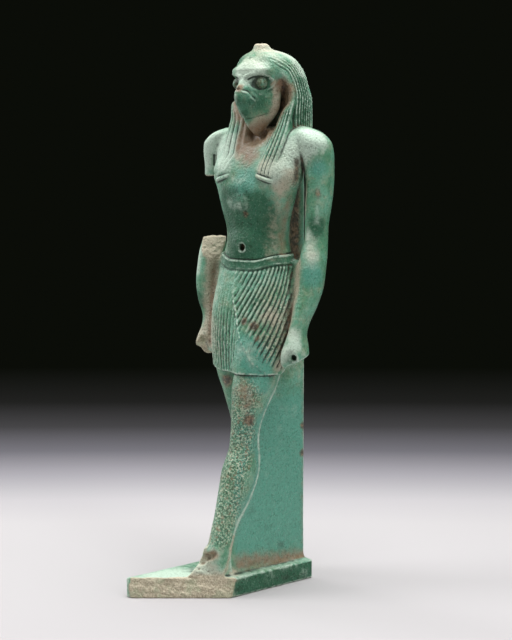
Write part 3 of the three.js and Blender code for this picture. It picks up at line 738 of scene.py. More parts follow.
def lost_fist_end(x, y, h):
    """The rough end of the right fist."""
    lumps = 0.7 * grain(x, y, h, 1.8, 62)
    return break_plane((-14.0, -1.8, 48.4), -0.70, 44, 60)(x, y, h) + lumps


shoulder_rows = right_rows[right_rows[:, 0] > 79]
forearm_rows = right_rows[right_rows[:, 0] < 81]
limb(shoulder_rows, 0.9, -1, (lost_below,), 1.6)
limb(forearm_rows, 0.9, -1, (lost_above, lost_fist_end))

for side in (-1, 1):
    join_rows = [
        [46.5, 11.6, -1.5, 2.6, 1.4, 2.2, 2.6],
        [56, 12.2, -0.4, 2.4, 1.6, 2.2, 2.6],
        [68.3, 11.6, 1.6, 2.8, 1.4, 2.0, 2.6],
    ]
    limb(join_rows, 1.2, side, end_round=1.5)

groove(on_skin([(-12.3, -1.6, 91.0), (-12.3, -1.6, 89.0), (-12.2, -1.4, 86.5)]), 0.38, 0.4)

peg = [(16.4, -7.6, 47.3), (15.5, -4.7, 47.7)]
groove([(16.6, -8.2, 47.9), (15.7, -6.6, 48.0)], 1.3, 0.6)
groove(peg, FIST_PIT, 0.3)

# The head is a falcon's in a man's long striped wig. The wig's crown is smooth and its locks start at
# the brow; its rim stands clear of the face all round.

LOCK_SPACING = 0.77
LOCK_DEPTH = 0.30
LOCK_TWIST = 0.9
WIG_FOOT = 92.7
CROWN_POWER = 2.3
CROWN_HALF = 9.5
CROWN_DEPTH = 8.7
CROWN_HEIGHT = 10.3
CROWN_FOOT = 104
CROWN_MIDDLE = 2.8
wig_rows = [
    [WIG_FOOT, 0, 4.7, 9.9, 4.7, 4.7, 3.6],
    [101.1, 0, 4.85, 9.75, 4.95, 4.95, 3.5],
    [104.0, 0, 4.85, 9.45, 5.0, 5.0, 3.4],
    [106.7, 0, 4.7, 8.9, 5.1, 5.1, 3.2],
    [109.2, 0, 4.2, 8.3, 5.4, 5.4, 3.0],
    [111.1, 0, 3.5, 7.6, 5.5, 6.2, 2.5],
    [114.5, 0, 2.8, 7.2, 5.5, 6.6, 2.2],
]
wig_rim = [
    (0, -3.6, 111.0), (3.0, -3.0, 110.7), (5.3, -1.4, 109.7), (7.2, 0.2, 108.4), (8.6, 0.8, 106.6),
    (9.3, 0.9, 104.4), (9.6, 0.3, 101), (9.8, 0, 92),
]
spans, x, y, h = space((-12.5, 12.5), (-6, 12), (WIG_FOOT - 1, 117))
wig = evened(sections(x, y, h, curve(wig_rows, h)) - 1)
crown = (np.abs(x) / CROWN_HALF) ** CROWN_POWER + (np.abs(y - CROWN_MIDDLE) / CROWN_DEPTH) ** CROWN_POWER
crown = crown + (np.maximum(h - CROWN_FOOT, 0) / CROWN_HEIGHT) ** CROWN_POWER
crown = evened(crown ** (1 / CROWN_POWER) - 1) - 1.2 * smooth(107 - h, 0, 4)
wig = np.maximum(-melt(-wig, -crown, 1.5), WIG_FOOT - h)
lock_place = along(np.abs(x), y, h, wig_rim)
lock_strength = smooth(lock_place, 1.0, 1.7) * smooth(8.6 - lock_place, 0, 1)
lock_strength = lock_strength * smooth(np.abs(x), 3.2, 5.2) * smooth(113.2 - h, 0, 3)
lock_number = np.floor(lock_place / LOCK_SPACING)
twist = 0.5 + 0.5 * np.sin(h * 2 * np.pi / LOCK_TWIST + 2.4 * lock_number)
lock_round = pleats(lock_place / LOCK_SPACING) * (1 - 0.14 * twist * smooth(lock_place, 2, 4))
wig = wig - 2 * LOCK_DEPTH * lock_strength * (lock_round - RIDGE_MEAN)

OPENING_TOP = 109.0
opening_rows = [
    [92, 0, -2.0, 5.0, 5.0, 3.4, 2.4],
    [96, 0, -2.0, 6.0, 5.0, 4.4, 2.6],
    [100, 0, -2.0, 7.6, 5.0, 5.0, 2.6],
    [102, 0, -2.0, 8.9, 5.0, 5.2, 2.4],
    [104, 0, -2.0, 9.7, 5.0, 5.3, 2.2],
    [105.5, 0, -2.0, 9.5, 5.0, 5.3, 2.2],
    [107, 0, -2.0, 8.4, 5.0, 5.0, 2.3],
    [108.3, 0, -2.2, 6.8, 4.0, 3.8, 2.6],
    [OPENING_TOP, 0, -2.4, 5.8, 4.0, 2.6, 2.6],
]
opening = evened(sections(x, y, h, curve(opening_rows, h)) - 1)
opening = -melt(-opening, np.broadcast_to(OPENING_TOP - h, opening.shape), 1.0)
wig = -melt(-wig, opening, 0.8)
mould(spans, wig, 0.25)

# The face is a wedge: a broad brow that runs up into the crown, the stump of the beak, and a smooth mask
# that falls back to the throat. Each round eye sits in a dark ring under the brow's edge.

CHIN = 95.3
BROW_TOP = 111.8
face_rows = [
    [CHIN, 0.5, -0.6, 0.2, 2.0],
    [96.4, 1.2, -1.9, 0.3, 1.8],
    [97.4, 2.1, -3.0, 0.5, 1.7],
    [98.8, 3.4, -4.0, 0.9, 1.6],
    [99.9, 4.2, -5.1, 1.2, 1.5],
    [101.8, 5.0, -6.4, 1.5, 1.45],
    [103.6, 5.3, -7.2, 1.4, 1.45],
    [105.3, 5.3, -6.9, 1.4, 1.4],
    [107, 5.3, -5.6, 1.5, 1.5],
    [108.8, 5.3, -4.5, 1.8, 1.9],
    [110.4, 5.2, -4.0, 1.8, 2.2],
    [BROW_TOP, 4.5, -3.2, 1.8, 2.2],
]
spans, x, y, h = space((-5.5, 5.5), (-8, 2), (92.5, 100.5))
throat = np.sqrt((x / 4.4) ** 2 + ((y + 3.0) / 3.9) ** 2 + ((h - 96.4) / 3.1) ** 2) - 1
carve(spans, evened(throat), 0.8)
spans, x, y, h = space((-8, 8), (-9.5, 7), (93.5, 113.5))
half_width, beak, cheek, bluntness = curve(face_rows, h)
out = np.abs(x) / half_width
wedge = out**bluntness + (cheek - y) / (cheek - beak)
behind_cheek = np.sqrt(out**2 + ((y - cheek) / (0.35 * half_width)) ** 2)
face = evened(np.where(y < cheek, wedge, behind_cheek) - 1)
face = -melt(-face, np.broadcast_to(-np.maximum(CHIN - h, h - BROW_TOP), face.shape), 0.6)
mould(spans, face, 0.5)

forehead = [
    [108.2, 0, 0, 4.9, 3.6, 3, 2.6],
    [109.1, 0, 0, 5.5, 4.4, 3, 2.8],
    [109.9, 0, 0, 5.6, 4.5, 3, 2.8],
    [110.7, 0, 0, 5.2, 4.0, 3, 2.6],
]
limb(forehead, 1.2, end_round=0.9)
ball((0.2, 1.6, 108.6), (5.8, 5.5, 5.5), 1.2)

brow_edge = [
    (0.7, -4.6, 108.2), (1.5, -4.2, 108.6), (3.0, -4.0, 108.9),
    (4.3, -3.3, 108.95), (5.0, -2.0, 108.5), (5.2, -0.8, 107.7),
]
under_brow = [(1.8, -4.9, 107.7), (2.8, -4.4, 108.3), (4.2, -3.4, 108.45), (5.1, -2.0, 108.0)]
lower_lid = [
    (1.8, -4.8, 106.2), (2.1, -4.3, 105.6), (3.0, -3.2, 105.15),
    (4.0, -1.5, 105.3), (4.7, -0.3, 106.1), (5.1, 0.2, 107.0),
]
upper_cheek = [(3.2, -2.9, 104.5), (4.1, -1.3, 104.5), (4.7, -0.1, 105.1), (5.0, 0.5, 105.8)]
lower_cheek = [(3.9, -1.7, 103.9), (4.5, -0.6, 104.1), (5.0, 0.5, 104.8)]
mouth = [(0.0, -7.0, 105.5), (1.0, -5.8, 105.4), (1.7, -5.2, 105.2), (2.3, -4.6, 104.3), (2.8, -3.8, 103.5)]
jaw = [
    (0.39, -4.1, 99.1), (1.3, -3.55, 99.2), (2.12, -2.81, 99.5), (3.26, -1.46, 100.0), (4.35, -0.01, 100.6),
]
EYE_PLACE = (4.0, -3.2, 107.1)
EYE_HEADING = math.radians(50)
EYEBALL_BACK = 0.25

# Each eye is a deep ring, a ball set in it and a fine groove round the pupil. The brow, the lower lid, the
# cheek's folds, the mouth and the jaw are cords and grooves laid on the skin.
for side in (-1, 1):
    spans, x, y, h = space(np.sort([side * 0.5, side * 7.5]), (-8, 1), (103.5, 111))
    facing_x, facing_y = side * math.sin(EYE_HEADING), -math.cos(EYE_HEADING)
    ex, ey, eh = x - side * EYE_PLACE[0], y - EYE_PLACE[1], h - EYE_PLACE[2]
    out = ex * facing_x + ey * facing_y
    sideways = ex * facing_y * side - ey * facing_x * side
    ring = np.sqrt((sideways / 1.32) ** 2 + eh**2)
    carve(spans, np.sqrt((ring / 1.66) ** 2 + ((out - 0.7) / 1.25) ** 2) - 1, 0.6)
    ring = np.hypot(sideways + EYEBALL_BACK, eh + 0.2)
    eyeball = np.sqrt((ring / 1.2) ** 2 + ((out + 0.6) / 1.1) ** 2) - 1
    mould(spans, evened(eyeball), 0.3)
    carve(spans, np.hypot(ring - 0.48, out - 0.50) - 0.12, 0.12)
    cord(on_skin(brow_edge, side), 0.36, 0.5)
    cord(on_skin(lower_lid, side), 0.24, 0.4)
    groove(on_skin(under_brow, side), 0.15)
    cord(on_skin(upper_cheek, side), 0.27, 0.4)
    cord(on_skin(lower_cheek, side), 0.23, 0.4)
    groove(on_skin(mouth, side), 0.22)
    cord(on_skin(np.array(mouth[1:]) - (0, 0, 0.5), side), 0.16, 0.3)
    groove(on_skin(jaw, side), 0.16)
groove([(0.5, -6.6, 105.95), (0.1, -6.7, 106.2)], 0.42, 0.2)

# Two lappets of the wig lie on the chest, each with its locks and a plain bound end, lower at the outer
# corner. What stood on the crown has broken off to a low stump.

lappet_rows = [
    [84.9, 3.7, 8.5, -5.8],
    [88.7, 3.75, 8.9, -4.9],
    [91.7, 4.4, 9.3, -3.6],
    [94.7, 5.1, 9.6, -2.3],
    [97.7, 5.8, 9.5, -0.9],
    [101, 6.7, 9.4, 0.4],
    [102.4, 7.7, 9.4, 1.0],
    [104, 9.0, 9.5, 1.6],
]
LAPPET_FOOT = 86.5
LAPPET_TOP = 103.5
LAPPET_SLOPE = 1.35
LAPPET_STRIPS = 5
FAR_LAPPET_REACH = 3.5
FAR_LAPPET_WIDER = 0.4
for side in (-1, 1):
    spans, x, y, h = space(np.sort([side * 1.5, side * 12]), (-8, 7), (83, 104.5))
    inner, outer, lap_front = curve(lappet_rows, h)
    if side < 0:
        inner = inner - FAR_LAPPET_REACH * smooth(h, 88, 92) * smooth(103 - h, 0, 4)
        outer = outer + FAR_LAPPET_WIDER
    share = (side * x - inner) / (outer - inner)
    rounded = (1.1 * (2 * share - 1) ** 4 + 0.5 * share) * (outer - inner) / 5
    lap = np.maximum(np.maximum(inner - side * x, side * x - outer), lap_front + rounded - y)
    foot = LAPPET_FOOT - LAPPET_SLOPE * share
    band_top = foot + 0.95
    lap = np.maximum(lap, np.maximum(foot - h, y - lap_front - 3 + 1.8 * smooth(h, 95, 100)))
    wear = 1 if side > 0 else 1 - 0.6 * smooth(95 - h, 0, 6)
    strips = (pleats(share * LAPPET_STRIPS) - RIDGE_MEAN) * (0.8 + 0.5 * share) * wear
    strips = 2 * LOCK_DEPTH * strips * smooth(h, band_top + 0.1, band_top + 0.5)
    lap = lap - strips * smooth(LAPPET_TOP - h, 0, 3)
    band_edge = 0.32 * np.exp(-(((h - band_top) / 0.2) ** 2))
    band_round = 0.28 * wear * np.exp(-(((h - foot - 0.45) / 0.4) ** 2))
    lap = lap + band_edge - band_round
    lap = -melt(-lap, np.broadcast_to(LAPPET_TOP - h, lap.shape), 1.5)
    mould(spans, lap, 0.15)

STUMP_BREAK = 115.65
stump_rows = [
    [108.5, 0.4, 1.4, 3.6, 3.3, 3.4, 2.2],
    [112.8, 0.3, 1.1, 2.7, 2.6, 2.7, 2.2],
    [113.9, 0.3, 1.0, 2.1, 2.1, 2.3, 2.2],
    [FIGURE_TALL, 0.2, 0.8, 1.4, 1.3, 1.5, 2.2],
]


def lost_crown(x, y, h):
    """All over the broken top of the stump."""
    slope = 0.6 * np.maximum(0.72 * x + 0.69 * y - 1.9, 0)
    return -(h - STUMP_BREAK + slope + 0.5 * break_relief(x, y, h, 70))


limb(stump_rows, 0.8, 1, (lost_crown,))

# The whole skin is drawn out of the paste as one closed mesh. The paste is first eased a little between
# neighbouring cells. Bubbles shut inside it are left out, and the mesh is thinned where it is plain.


def skin(field, first, cell):
    """Surface nets: a point in each cell that the skin crosses, and a quad round each edge that it crosses.

    The point is the mean of the crossings on the cell's edges, each where a straight line reaches 0.
    """
    inside = field < 0
    cells = tuple(n - 1 for n in field.shape)
    offsets = list(np.ndindex(2, 2, 2))
    count = np.zeros(cells, np.uint8)
    for i, j, k in offsets:
        count += inside[i : i + cells[0], j : j + cells[1], k : k + cells[2]]
    active = np.flatnonzero((count > 0) & (count < 8))
    ident = np.full(cells, -1, np.int32)
    ident.reshape(-1)[active] = np.arange(len(active))
    base = np.array(np.unravel_index(active, cells))
    corner = {o: field[tuple(base[axis] + o[axis] for axis in range(3))] for o in offsets}
    total = np.zeros((3, len(active)))
    crossings = np.zeros(len(active))
    for o in offsets:
        for axis in range(3):
            if o[axis]:
                continue
            far = tuple(1 if axis == other else o[other] for other in range(3))
            a, b = corner[o], corner[far]
            crossed = (a < 0) != (b < 0)
            part = np.where(crossed, a / np.where(crossed, a - b, 1), 0)
            for other in range(3):
                total[other] += np.where(crossed, part if other == axis else o[other], 0)
            crossings += crossed
    points = first[:, None] + cell * (base + total / crossings)
    quads = []
    for axis in range(3):
        one, two = [other for other in range(3) if other != axis]
        near = [slice(1, -1)] * 3
        near[axis] = slice(0, -1)
        beyond = [slice(1, -1)] * 3
        beyond[axis] = slice(1, None)
        change = inside[tuple(near)].astype(np.int8) - inside[tuple(beyond)]
        at = np.array(np.nonzero(change))
        sign = change[tuple(at)]
        at[one] += 1
        at[two] += 1
        ring = []
        for back_one, back_two in ((1, 1), (0, 1), (0, 0), (1, 0)):
            place = at.copy()
            place[one] -= back_one
            place[two] -= back_two
            ring.append(ident[tuple(place)])
        ring = np.stack(ring, 1)
        outwards = (sign > 0) == (axis != 1)
        ring[~outwards] = ring[~outwards][:, ::-1]
        quads.append(ring)
    return points.T, np.concatenate(quads)


def one_piece(points, quads):
    """The largest connected shell: the least label in each face spreads over its corners until all rest."""
    label = np.arange(len(points))
    resting = False
    while not resting:
        least = label[quads].min(axis=1)
        spread = label.copy()
        for corner in quads.T:
            np.minimum.at(spread, corner, least)
        spread = spread[spread]
        resting = np.array_equal(spread, label)
        label = spread
    quads = quads[label[quads[:, 0]] == np.bincount(label).argmax()]
    used, quads = np.unique(quads, return_inverse=True)
    return points[used], quads.reshape(-1, 4)


def mesh_from(name, points, quads):
    """A mesh from whole arrays of points and four-cornered faces."""
    mesh = bpy.data.meshes.new(name)
    mesh.vertices.add(len(points))
    mesh.vertices.foreach_set("co", points.astype(np.float32).reshape(-1))
    mesh.loops.add(quads.size)
    mesh.loops.foreach_set("vertex_index", quads.astype(np.int32).reshape(-1))
    mesh.polygons.add(len(quads))
    mesh.polygons.foreach_set("loop_start", np.arange(0, quads.size, 4, dtype=np.int32))
    mesh.update(calc_edges=True)
    return mesh


TRIANGLES = 190000
OWN_SHARE = 6
for axis in range(3):
    paste = (np.roll(paste, 1, axis) + OWN_SHARE * paste + np.roll(paste, -1, axis)) / (OWN_SHARE + 2)
net_points, net_quads = one_piece(*skin(paste, grid_low, CELL))
net = bpy.data.objects.new("net", mesh_from("net", net_points * unit + origin, net_quads))
bpy.context.collection.objects.link(net)
thin = net.modifiers.new("thin", "DECIMATE")
thin.ratio = min(1.0, TRIANGLES / (2 * len(net_quads)))
bpy.context.view_layer.update()
drawn = net.evaluated_get(bpy.context.evaluated_depsgraph_get())
figure_mesh = bpy.data.meshes.new_from_object(drawn)
figure_mesh.name = "falcon_statuette"
bpy.data.objects.remove(net)

skin_points = np.empty(3 * len(figure_mesh.vertices), np.float32)
figure_mesh.vertices.foreach_get("co", skin_points)
skin_points = np.clip(skin_points.reshape(-1, 3), low, high)
figure_mesh.vertices.foreach_set("co", skin_points.reshape(-1))
figure_mesh.polygons.foreach_set("use_smooth", np.ones(len(figure_mesh.polygons), bool))
figure_mesh.update()
figure = bpy.data.objects.new("falcon_statuette", figure_mesh)
bpy.context.collection.objects.link(figure)

# The glaze is worn pale, with painted highlights, where it stands up or faces up, and gone at the breaks,
# where the cream core shows. Painted shade darkens the grooves; earth and painted shade fill the deep
# corners. Patches of each finish are soft balls (x, y, h, radius) and soft trails (a radius and points).


def crowding(reach):
    """Share of paste in a cube around each cell, by running sums along each axis.

    It is half on a flat, more in a hollow and less on a ridge.
    """
    width = max(1, int(round(reach / CELL)))
    share = (paste < 0).astype(np.float32)
    for axis in range(3):
        padding = [(0, 0)] * 3
        padding[axis] = (width + 1, width)
        running = np.cumsum(np.pad(share, padding, mode="edge"), axis=axis, dtype=np.float32)
        ahead = [slice(None)] * 3
        behind = [slice(None)] * 3
        ahead[axis] = slice(2 * width + 1, None)
        behind[axis] = slice(0, -2 * width - 1)
        share = (running[tuple(ahead)] - running[tuple(behind)]) / (2 * width + 1)
    return share


spots = (skin_points - origin) / unit
normals = np.empty(3 * len(skin_points), np.float32)
figure_mesh.vertices.foreach_get("normal", normals)
normals = normals.reshape(-1, 3)
sx, sy, sh = spots.T.astype(np.float32)
FINE_REACH = 0.5
BROAD_REACH = 2.0
fine_hollow = sampled(crowding(FINE_REACH), spots) * 2 - 1
broad_hollow = sampled(crowding(BROAD_REACH), spots) * 2 - 1
raw = 1 - smooth(sampled(break_near, spots), 0.15, 0.4)


def patch(*balls):
    """How far a point lies in any of some soft balls: 1 - product of (1 - exp(-(d / radius)^2))."""
    left = np.ones(len(spots), np.float32)
    for ball_x, ball_y, ball_h, radius in balls:
        away = (sx - ball_x) ** 2 + (sy - ball_y) ** 2 + (sh - ball_h) ** 2
        left = left * (1 - np.exp(-away / radius**2))
    return 1 - left


def trail(radius, *points):
    """The same along a line: exp(-(distance to the line / radius)^2)."""
    return np.exp(-((along(sx, sy, sh, points) / radius) ** 2))


def together(*amounts):
    """Several soft masks as one: 1 - product of (1 - amount)."""
    return 1 - np.prod([1 - amount for amount in amounts], axis=0)


raw = raw * (1 - 0.75 * smooth(sh, 0.2, 1.2) * patch((3.6, -19.6, 2.4, 4.5)))
on_panel = smooth(sx, 6.3, 6.6) * smooth(7.5 - sx, 0, 0.5)
on_panel = on_panel * smooth(PANEL_TOP - sh, 0, 1) * smooth(sy, -16, -13)
on_plinth_side = smooth(np.abs(sx), 8.2, 8.6) * smooth(-0.2 - sh, 0, 0.4)
eyes = patch((4.2, -3.4, 106.9, 1.5), (-4.2, -3.4, 106.9, 1.5))
right_web = ((-13.0, -0.9, 70), (-13.0, -1.8, 60), (-12.6, -2.8, 49))
arm_edge = ((13.2, -0.2, 88.0), (13.2, 0.4, 83.0), (13.2, 0.6, 78.0))

# Rubbed pale: brow, crown's edge, shoulders, chest, fist, forearms, plinth's top and the panel's edge.
# Painted highlights: pale bands across the belly and along the edges of the left arm and the pillar.
bleached_and_highlight = together(
    patch(
        (0.0, -4.4, 109.6, 3.0), (2.5, -3.8, 109.6, 2.4), (4.0, -30.0, 0.0, 6.0), (-12.7, -0.8, 93.6, 4.4),
        (-16.2, -0.6, 91.4, 4.2), (16.3, 1.1, 94.9, 3.0), (13.6, -0.2, 95.0, 3.4), (-6.6, -4.1, 90.1, 3.4),
        (-7.0, -3.0, 94.0, 2.6), (3.0, -28.0, 0.0, 7.0), (12.0, -1.6, 91.0, 3.2), (8.6, -4.4, 87.6, 2.8),
        (0, -21, 0, 6), (5, -22, 0, 5), (-2.0, -25.0, 0.0, 7.0), (0.5, -4.4, 108.4, 1.4),
        (6.0, -5.6, 88.5, 2.4), (12.5, -1.0, 93.0, 2.4), (12.7, -6.2, 47.6, 1.7),
    ),
    # Painted highlights: pale bands across the belly, here and in the next line.
    0.34 * trail(1.9, (-4.0, -5.2, 81.2), (-2.0, -5.4, 80.2), (0.2, -5.6, 79.8), (1.4, -5.4, 80.6)),
    0.35 * trail(1.0, (-4.0, -5.0, 86.6), (-1.0, -5.2, 85.2), (1.6, -5.4, 86.2)),
    0.3 * patch((3.6, -1.0, 112.4, 4.0), (0.0, 3.5, 114.0, 5.0)),
    0.9 * trail(1.6, (2.6, 2.2, 114.4), (4.6, 4.4, 113.4), (6.4, 5.2, 111.8), (7.6, 6.0, 109.6)),
    0.45 * patch((5.8, -9.4, 48.5, 3.0)),
    0.5 * patch((-9.5, -5.0, 52.0, 6.0), (-9.5, -4.0, 60.0, 4.0)),
    0.7 * trail(1.9, (14.9, -1.0, 74.5), (16.4, -1.0, 72.0), (16.6, -0.6, 69.0)),
    0.9 * trail(1.8, (15.0, -4.6, 52.5), (15.6, -4.8, 50.2), (14.2, -5.9, 49.0)),
    0.9 * trail(1.4, (-17.0, -2.0, 69.5), (-16.8, -2.4, 65.0)),
    0.6 * trail(0.9, (17.2, 0.9, 83.0), (17.2, 0.6, 77.0)),
    # A painted highlight along the left arm's inner edge.
    0.6 * trail(0.8, *arm_edge),
    0.85 * trail(0.24, *panel_rim),
    # A painted highlight along the pillar's back edge.
    0.8 * trail(0.3, (PILLAR_HALF, PILLAR_BACK, 0), (PILLAR_HALF, PILLAR_BACK, 44)),
)
bleached_and_highlight = bleached_and_highlight * (1 - 0.7 * eyes) * (1 - 0.6 * patch((5.2, -18.0, 3.0, 2.4)))

# Worn to the bare paste: the left armpit and flank, throat, wig's inner edges, webs beside the kilt, right
# fist, ankle and stump.
bare = together(
    patch(
        (10.8, -2.2, 87.4, 2.2), (9.6, -3.1, 84.4, 2.0), (12.5, -1.5, 92.5, 2.0), (1.5, -2.0, 97.0, 1.8),
        (3.0, -1.6, 98.3, 1.8), (11.3, -4.5, 45.5, 1.6), (6.9, -15.0, 0.2, 1.6), (0.5, 1.4, 115.0, 3.0),
        (8.6, -5.0, 56.0, 2.6), (-15.5, -4.0, 50.6, 2.2), (2.0, -20.6, 1.8, 3.2), (4.0, -19.8, 1.0, 2.4),
    ),
    0.35 * trail(2.2, (7.2, -2.8, 69.6), (7.0, -2.6, 73.0), (7.8, -2.4, 77.0), (8.8, -2.6, 81.0)),
    trail(1.0, (5.0, 0.0, 107.0), (5.0, 0.6, 104.3), (4.8, 0.6, 101.5), (3.8, 0.2, 99.0)),
    trail(0.7, (13.4, 0.6, 84), (13.4, 0.8, 79)),
    trail(1.5, (12.9, -0.6, 68), (13.1, -1.6, 62), (13.2, -2.5, 57), (13.1, -3.4, 52)),
    0.9 * trail(1.3, (-3.4, -1.2, 98.5), (-3.0, -2.4, 95.5), (-2.8, -3.8, 91.0)),
    trail(1.7, *right_web),
    0.6 * trail(1.3, (-9.8, -4.2, 57.0), (-9.8, -5.0, 46.0)),
    0.3 * on_panel * smooth(sh + 0.5 * sy, 40, 46),
)

# Dark earth in small pits, the throat, the navel and the pillar's corner; painted shade in the recess beside
# the torso and in the gaps at the left arm's inside; earth and painted shade in the wig's hollows.
earth_and_shade = together(
    patch(
        (1.3, -5.5, 78.3, 0.8), (17.2, 0.85, 83.1, 1.2), (7.0, -8.6, 54.2, 1.1), (4.6, -9.2, 55.2, 0.9),
        (7.6, -8.2, 51.4, 0.8), (6.8, -9.9, 33.7, 1.4), (6.7, 7.7, 30.6, 0.9), (6.7, 7.4, 24.3, 0.9),
        (-4.4, -5.4, 41.1, 1.6), (2.2, -0.2, 96.0, 1.3), (-0.9, -0.6, 95.6, 1.1), (0.8, -1.6, 94.0, 0.7),
        (0.4, -6.6, 105.6, 0.5), (0.6, -4.9, 70.9, 0.9),
    ),
    # Painted shade in the recess on the pillar's side, between the torso and the left arm.
    0.95 * trail(2.2, (6.9, 4.0, 90), (6.9, 4.6, 84), (6.9, 4.6, 76), (6.9, 4.6, 69)),
    # Painted shade in the gap between the left forearm and the kilt.
    0.8 * trail(0.6, (12.2, -1.0, 68), (12.3, -2.0, 61), (12.2, -3.0, 53)),
    # Earth and painted shade at the edge of the wig's hollow.
    0.5 * trail(1.5, (6.6, 1.8, 107.4), (7.5, 1.9, 105.5), (7.4, 1.6, 103.4)),
    # Painted shade in the gap between the left upper arm and the body.
    0.75 * trail(1.0, (12.3, -0.6, 90), (12.3, -0.5, 86), (12.4, 0.4, 82), (12.5, 0.8, 77)),
    # Earth and painted shade in the wig's hollows, near side and far side.
    0.9 * trail(
        0.9, (5.5, 2.4, 107.6), (5.7, 2.6, 105), (5.6, 2.6, 102.5), (4.9, 1.9, 100), (3.6, 0.6, 97.4)
    ),
    0.9 * trail(0.9, (-5.5, 2.4, 107.6), (-5.7, 2.6, 105), (-5.6, 2.6, 102.5), (-4.9, 1.9, 100)),
)

# Brown: earth and painted shade in the wig's hollows, painted shade in a line inside the pillar's back
# edge, and brown dirt on the throat, middle of the chest, left flank, right web, ankle's pit, left thigh
# and the panel's foot.
brown = together(
    # Earth and painted shade in the wig's hollows, near side and far side.
    0.95 * trail(
        1.8, (5.8, 1.6, 107.0), (6.7, 2.2, 105.3), (6.9, 1.8, 103), (6.0, 0.8, 100), (4.8, -0.6, 97.2)
    ),
    0.95 * trail(2.0, (-6.0, 1.8, 107.6), (-6.9, 2.2, 105.5), (-6.9, 1.8, 103), (-6.0, 0.8, 100)),
    0.9 * trail(1.2, (6.6, 1.6, 107.0), (7.6, 1.7, 105.4), (7.8, 1.4, 104.0), (7.0, 1.0, 102.4)),
    0.9 * trail(1.4, (-6.8, 1.6, 107.3), (-7.9, 1.7, 105.6), (-8.0, 1.4, 104.0), (-7.0, 1.0, 102.4)),
    patch((0.6, -0.6, 95.6, 3.0), (2.8, -0.6, 95.6, 2.4), (-1.6, -1.4, 94.8, 2.4), (0.3, -6.4, 105.9, 1.0)),
    0.7 * trail(0.9, (-12.6, -0.9, 70), (-12.7, -1.8, 60), (-12.4, -2.8, 49)),
    trail(1.2, *ankle_pit),
    0.5 * trail(1.6, (8.4, -0.8, 69.6), (7.9, -0.6, 73.0), (8.8, -0.4, 77.0), (9.9, -0.6, 81.0)),
    0.9 * trail(1.5, (-3.6, -0.4, 100.0), (-3.0, -1.8, 96.8), (-2.4, -3.2, 93.0)),
    0.75 * patch((0.8, -3.8, 91.2, 3.4)),
    0.55 * patch((5.6, -10.6, 40.0, 2.4), (6.6, -10.0, 37.5, 1.8)),
    0.68 * on_panel * np.exp(-(((sh - 1.5 + 0.10 * (sy + 4)) / 2.3) ** 2)),
    # Painted shade: a dark line inside the pillar's back edge.
    0.35 * trail(0.5, (PILLAR_HALF, PILLAR_BACK - 0.7, 4), (PILLAR_HALF, PILLAR_BACK - 0.7, 42)),
)

# Clear blue-green: the kilt's front and hem, the panel, and spots on the arm, chest, leg and plinth.
sea = together(
    patch(
        (5.3, -9.6, 50.0, 2.8), (8.3, -7.4, 48.0, 2.8), (6.8, -9.2, 46.5, 2.8), (8.3, -8.0, 44.3, 2.8),
        (8.4, -7.5, 41.0, 2.4), (17.0, 1.4, 88.5, 2.0), (17.0, -0.7, 65.4, 2.8),
        (1.3, -5.1, 85.6, 3.4), (-2.0, -5.0, 82.0, 3.0), (6.5, -12.0, 31.5, 2.0), (1.0, -27.0, 0.0, 4.0),
    ),
    0.9 * on_panel * np.exp(-(((sh - 20) / 22) ** 4)),
)

# Thick dark green: belly, belt, wig, face, the plinth's sides, and spots on the arms, kilt and right leg.
deep_green = together(
    patch(
        (-0.6, -5.0, 73.6, 6.0), (-1.5, -5.1, 78.0, 5.4), (4.5, -4.6, 78.2, 5.0), (4.0, -4.8, 73.0, 5.0),
        (-5.0, -4.0, 82.0, 2.4), (9.8, 4.6, 101.0, 3.4), (9.6, 2.0, 98.9, 3.0), (9.5, 5.0, 106.0, 3.0),
        (16.9, 1.0, 76.0, 2.4), (5.2, -1.6, 106.6, 1.6), (4.6, -2.6, 108.3, 1.2), (15.2, -5.6, 47.4, 1.4),
        (-16.0, -2.0, 58.0, 2.4), (-3.9, -1.0, 34.0, 4.0), (7.0, -9.0, 60.0, 3.0),
    ),
    0.66 * patch((0.5, -6.3, 103.2, 2.8), (3.5, -3.5, 102.3, 2.4), (0.5, -5.0, 100.3, 2.0)),
    0.6 * patch((-3.8, -0.8, 111.6, 3.4), (-15.0, -1.5, 88.8, 1.8)),
    0.55 * smooth(sh, 65.4, 66.4) * smooth(70.2 - sh, 0, 0.8) * smooth(12.6 - np.abs(sx), 0, 0.5),
    on_plinth_side,
)

# Blotched and pitted: the advanced leg, the left shoulder and chest, the kilt's sides and the right web.
grainy = together(
    patch(
        (6.0, -10.6, 39.2, 3.0), (5.7, -11.6, 34.0, 2.6), (12.8, -1.2, 90.5, 2.4), (14.5, -0.6, 92.5, 2.2),
        (13.0, -1.5, 87.0, 1.8), (10.3, -4.0, 57.0, 3.0), (10.0, -5.0, 50.0, 3.0), (-10, -5, 50, 6.0),
    ),
    trail(
        3.3, (5.6, -11.0, 39.0), (5.8, -11.0, 33.0), (5.6, -11.5, 28.0), (5.6, -13.0, 22.0),
        (5.4, -14.8, 16.0), (5.0, -17.2, 9.0),
    ),
    trail(1.3, *right_web),
    0.8 * patch((10.0, -3.2, 89.0, 3.4), (12.0, -1.4, 86.0, 2.6)),
    0.8 * trail(1.0, *arm_edge),
)

# Worn spots that are cream and not pale green: the crown, the left elbow, the kilt's sides and the chest.
dusty = patch(
    (1.0, 0.5, 113.4, 5.5), (16.4, -1.0, 71.0, 3.0), (9.5, -5.0, 60, 4.0), (9.5, -5.5, 53, 4.5),
    (9.0, -6.5, 47, 3.0), (-10, -5, 52, 6.0), (5.0, -5.0, 90.0, 5.0),
)

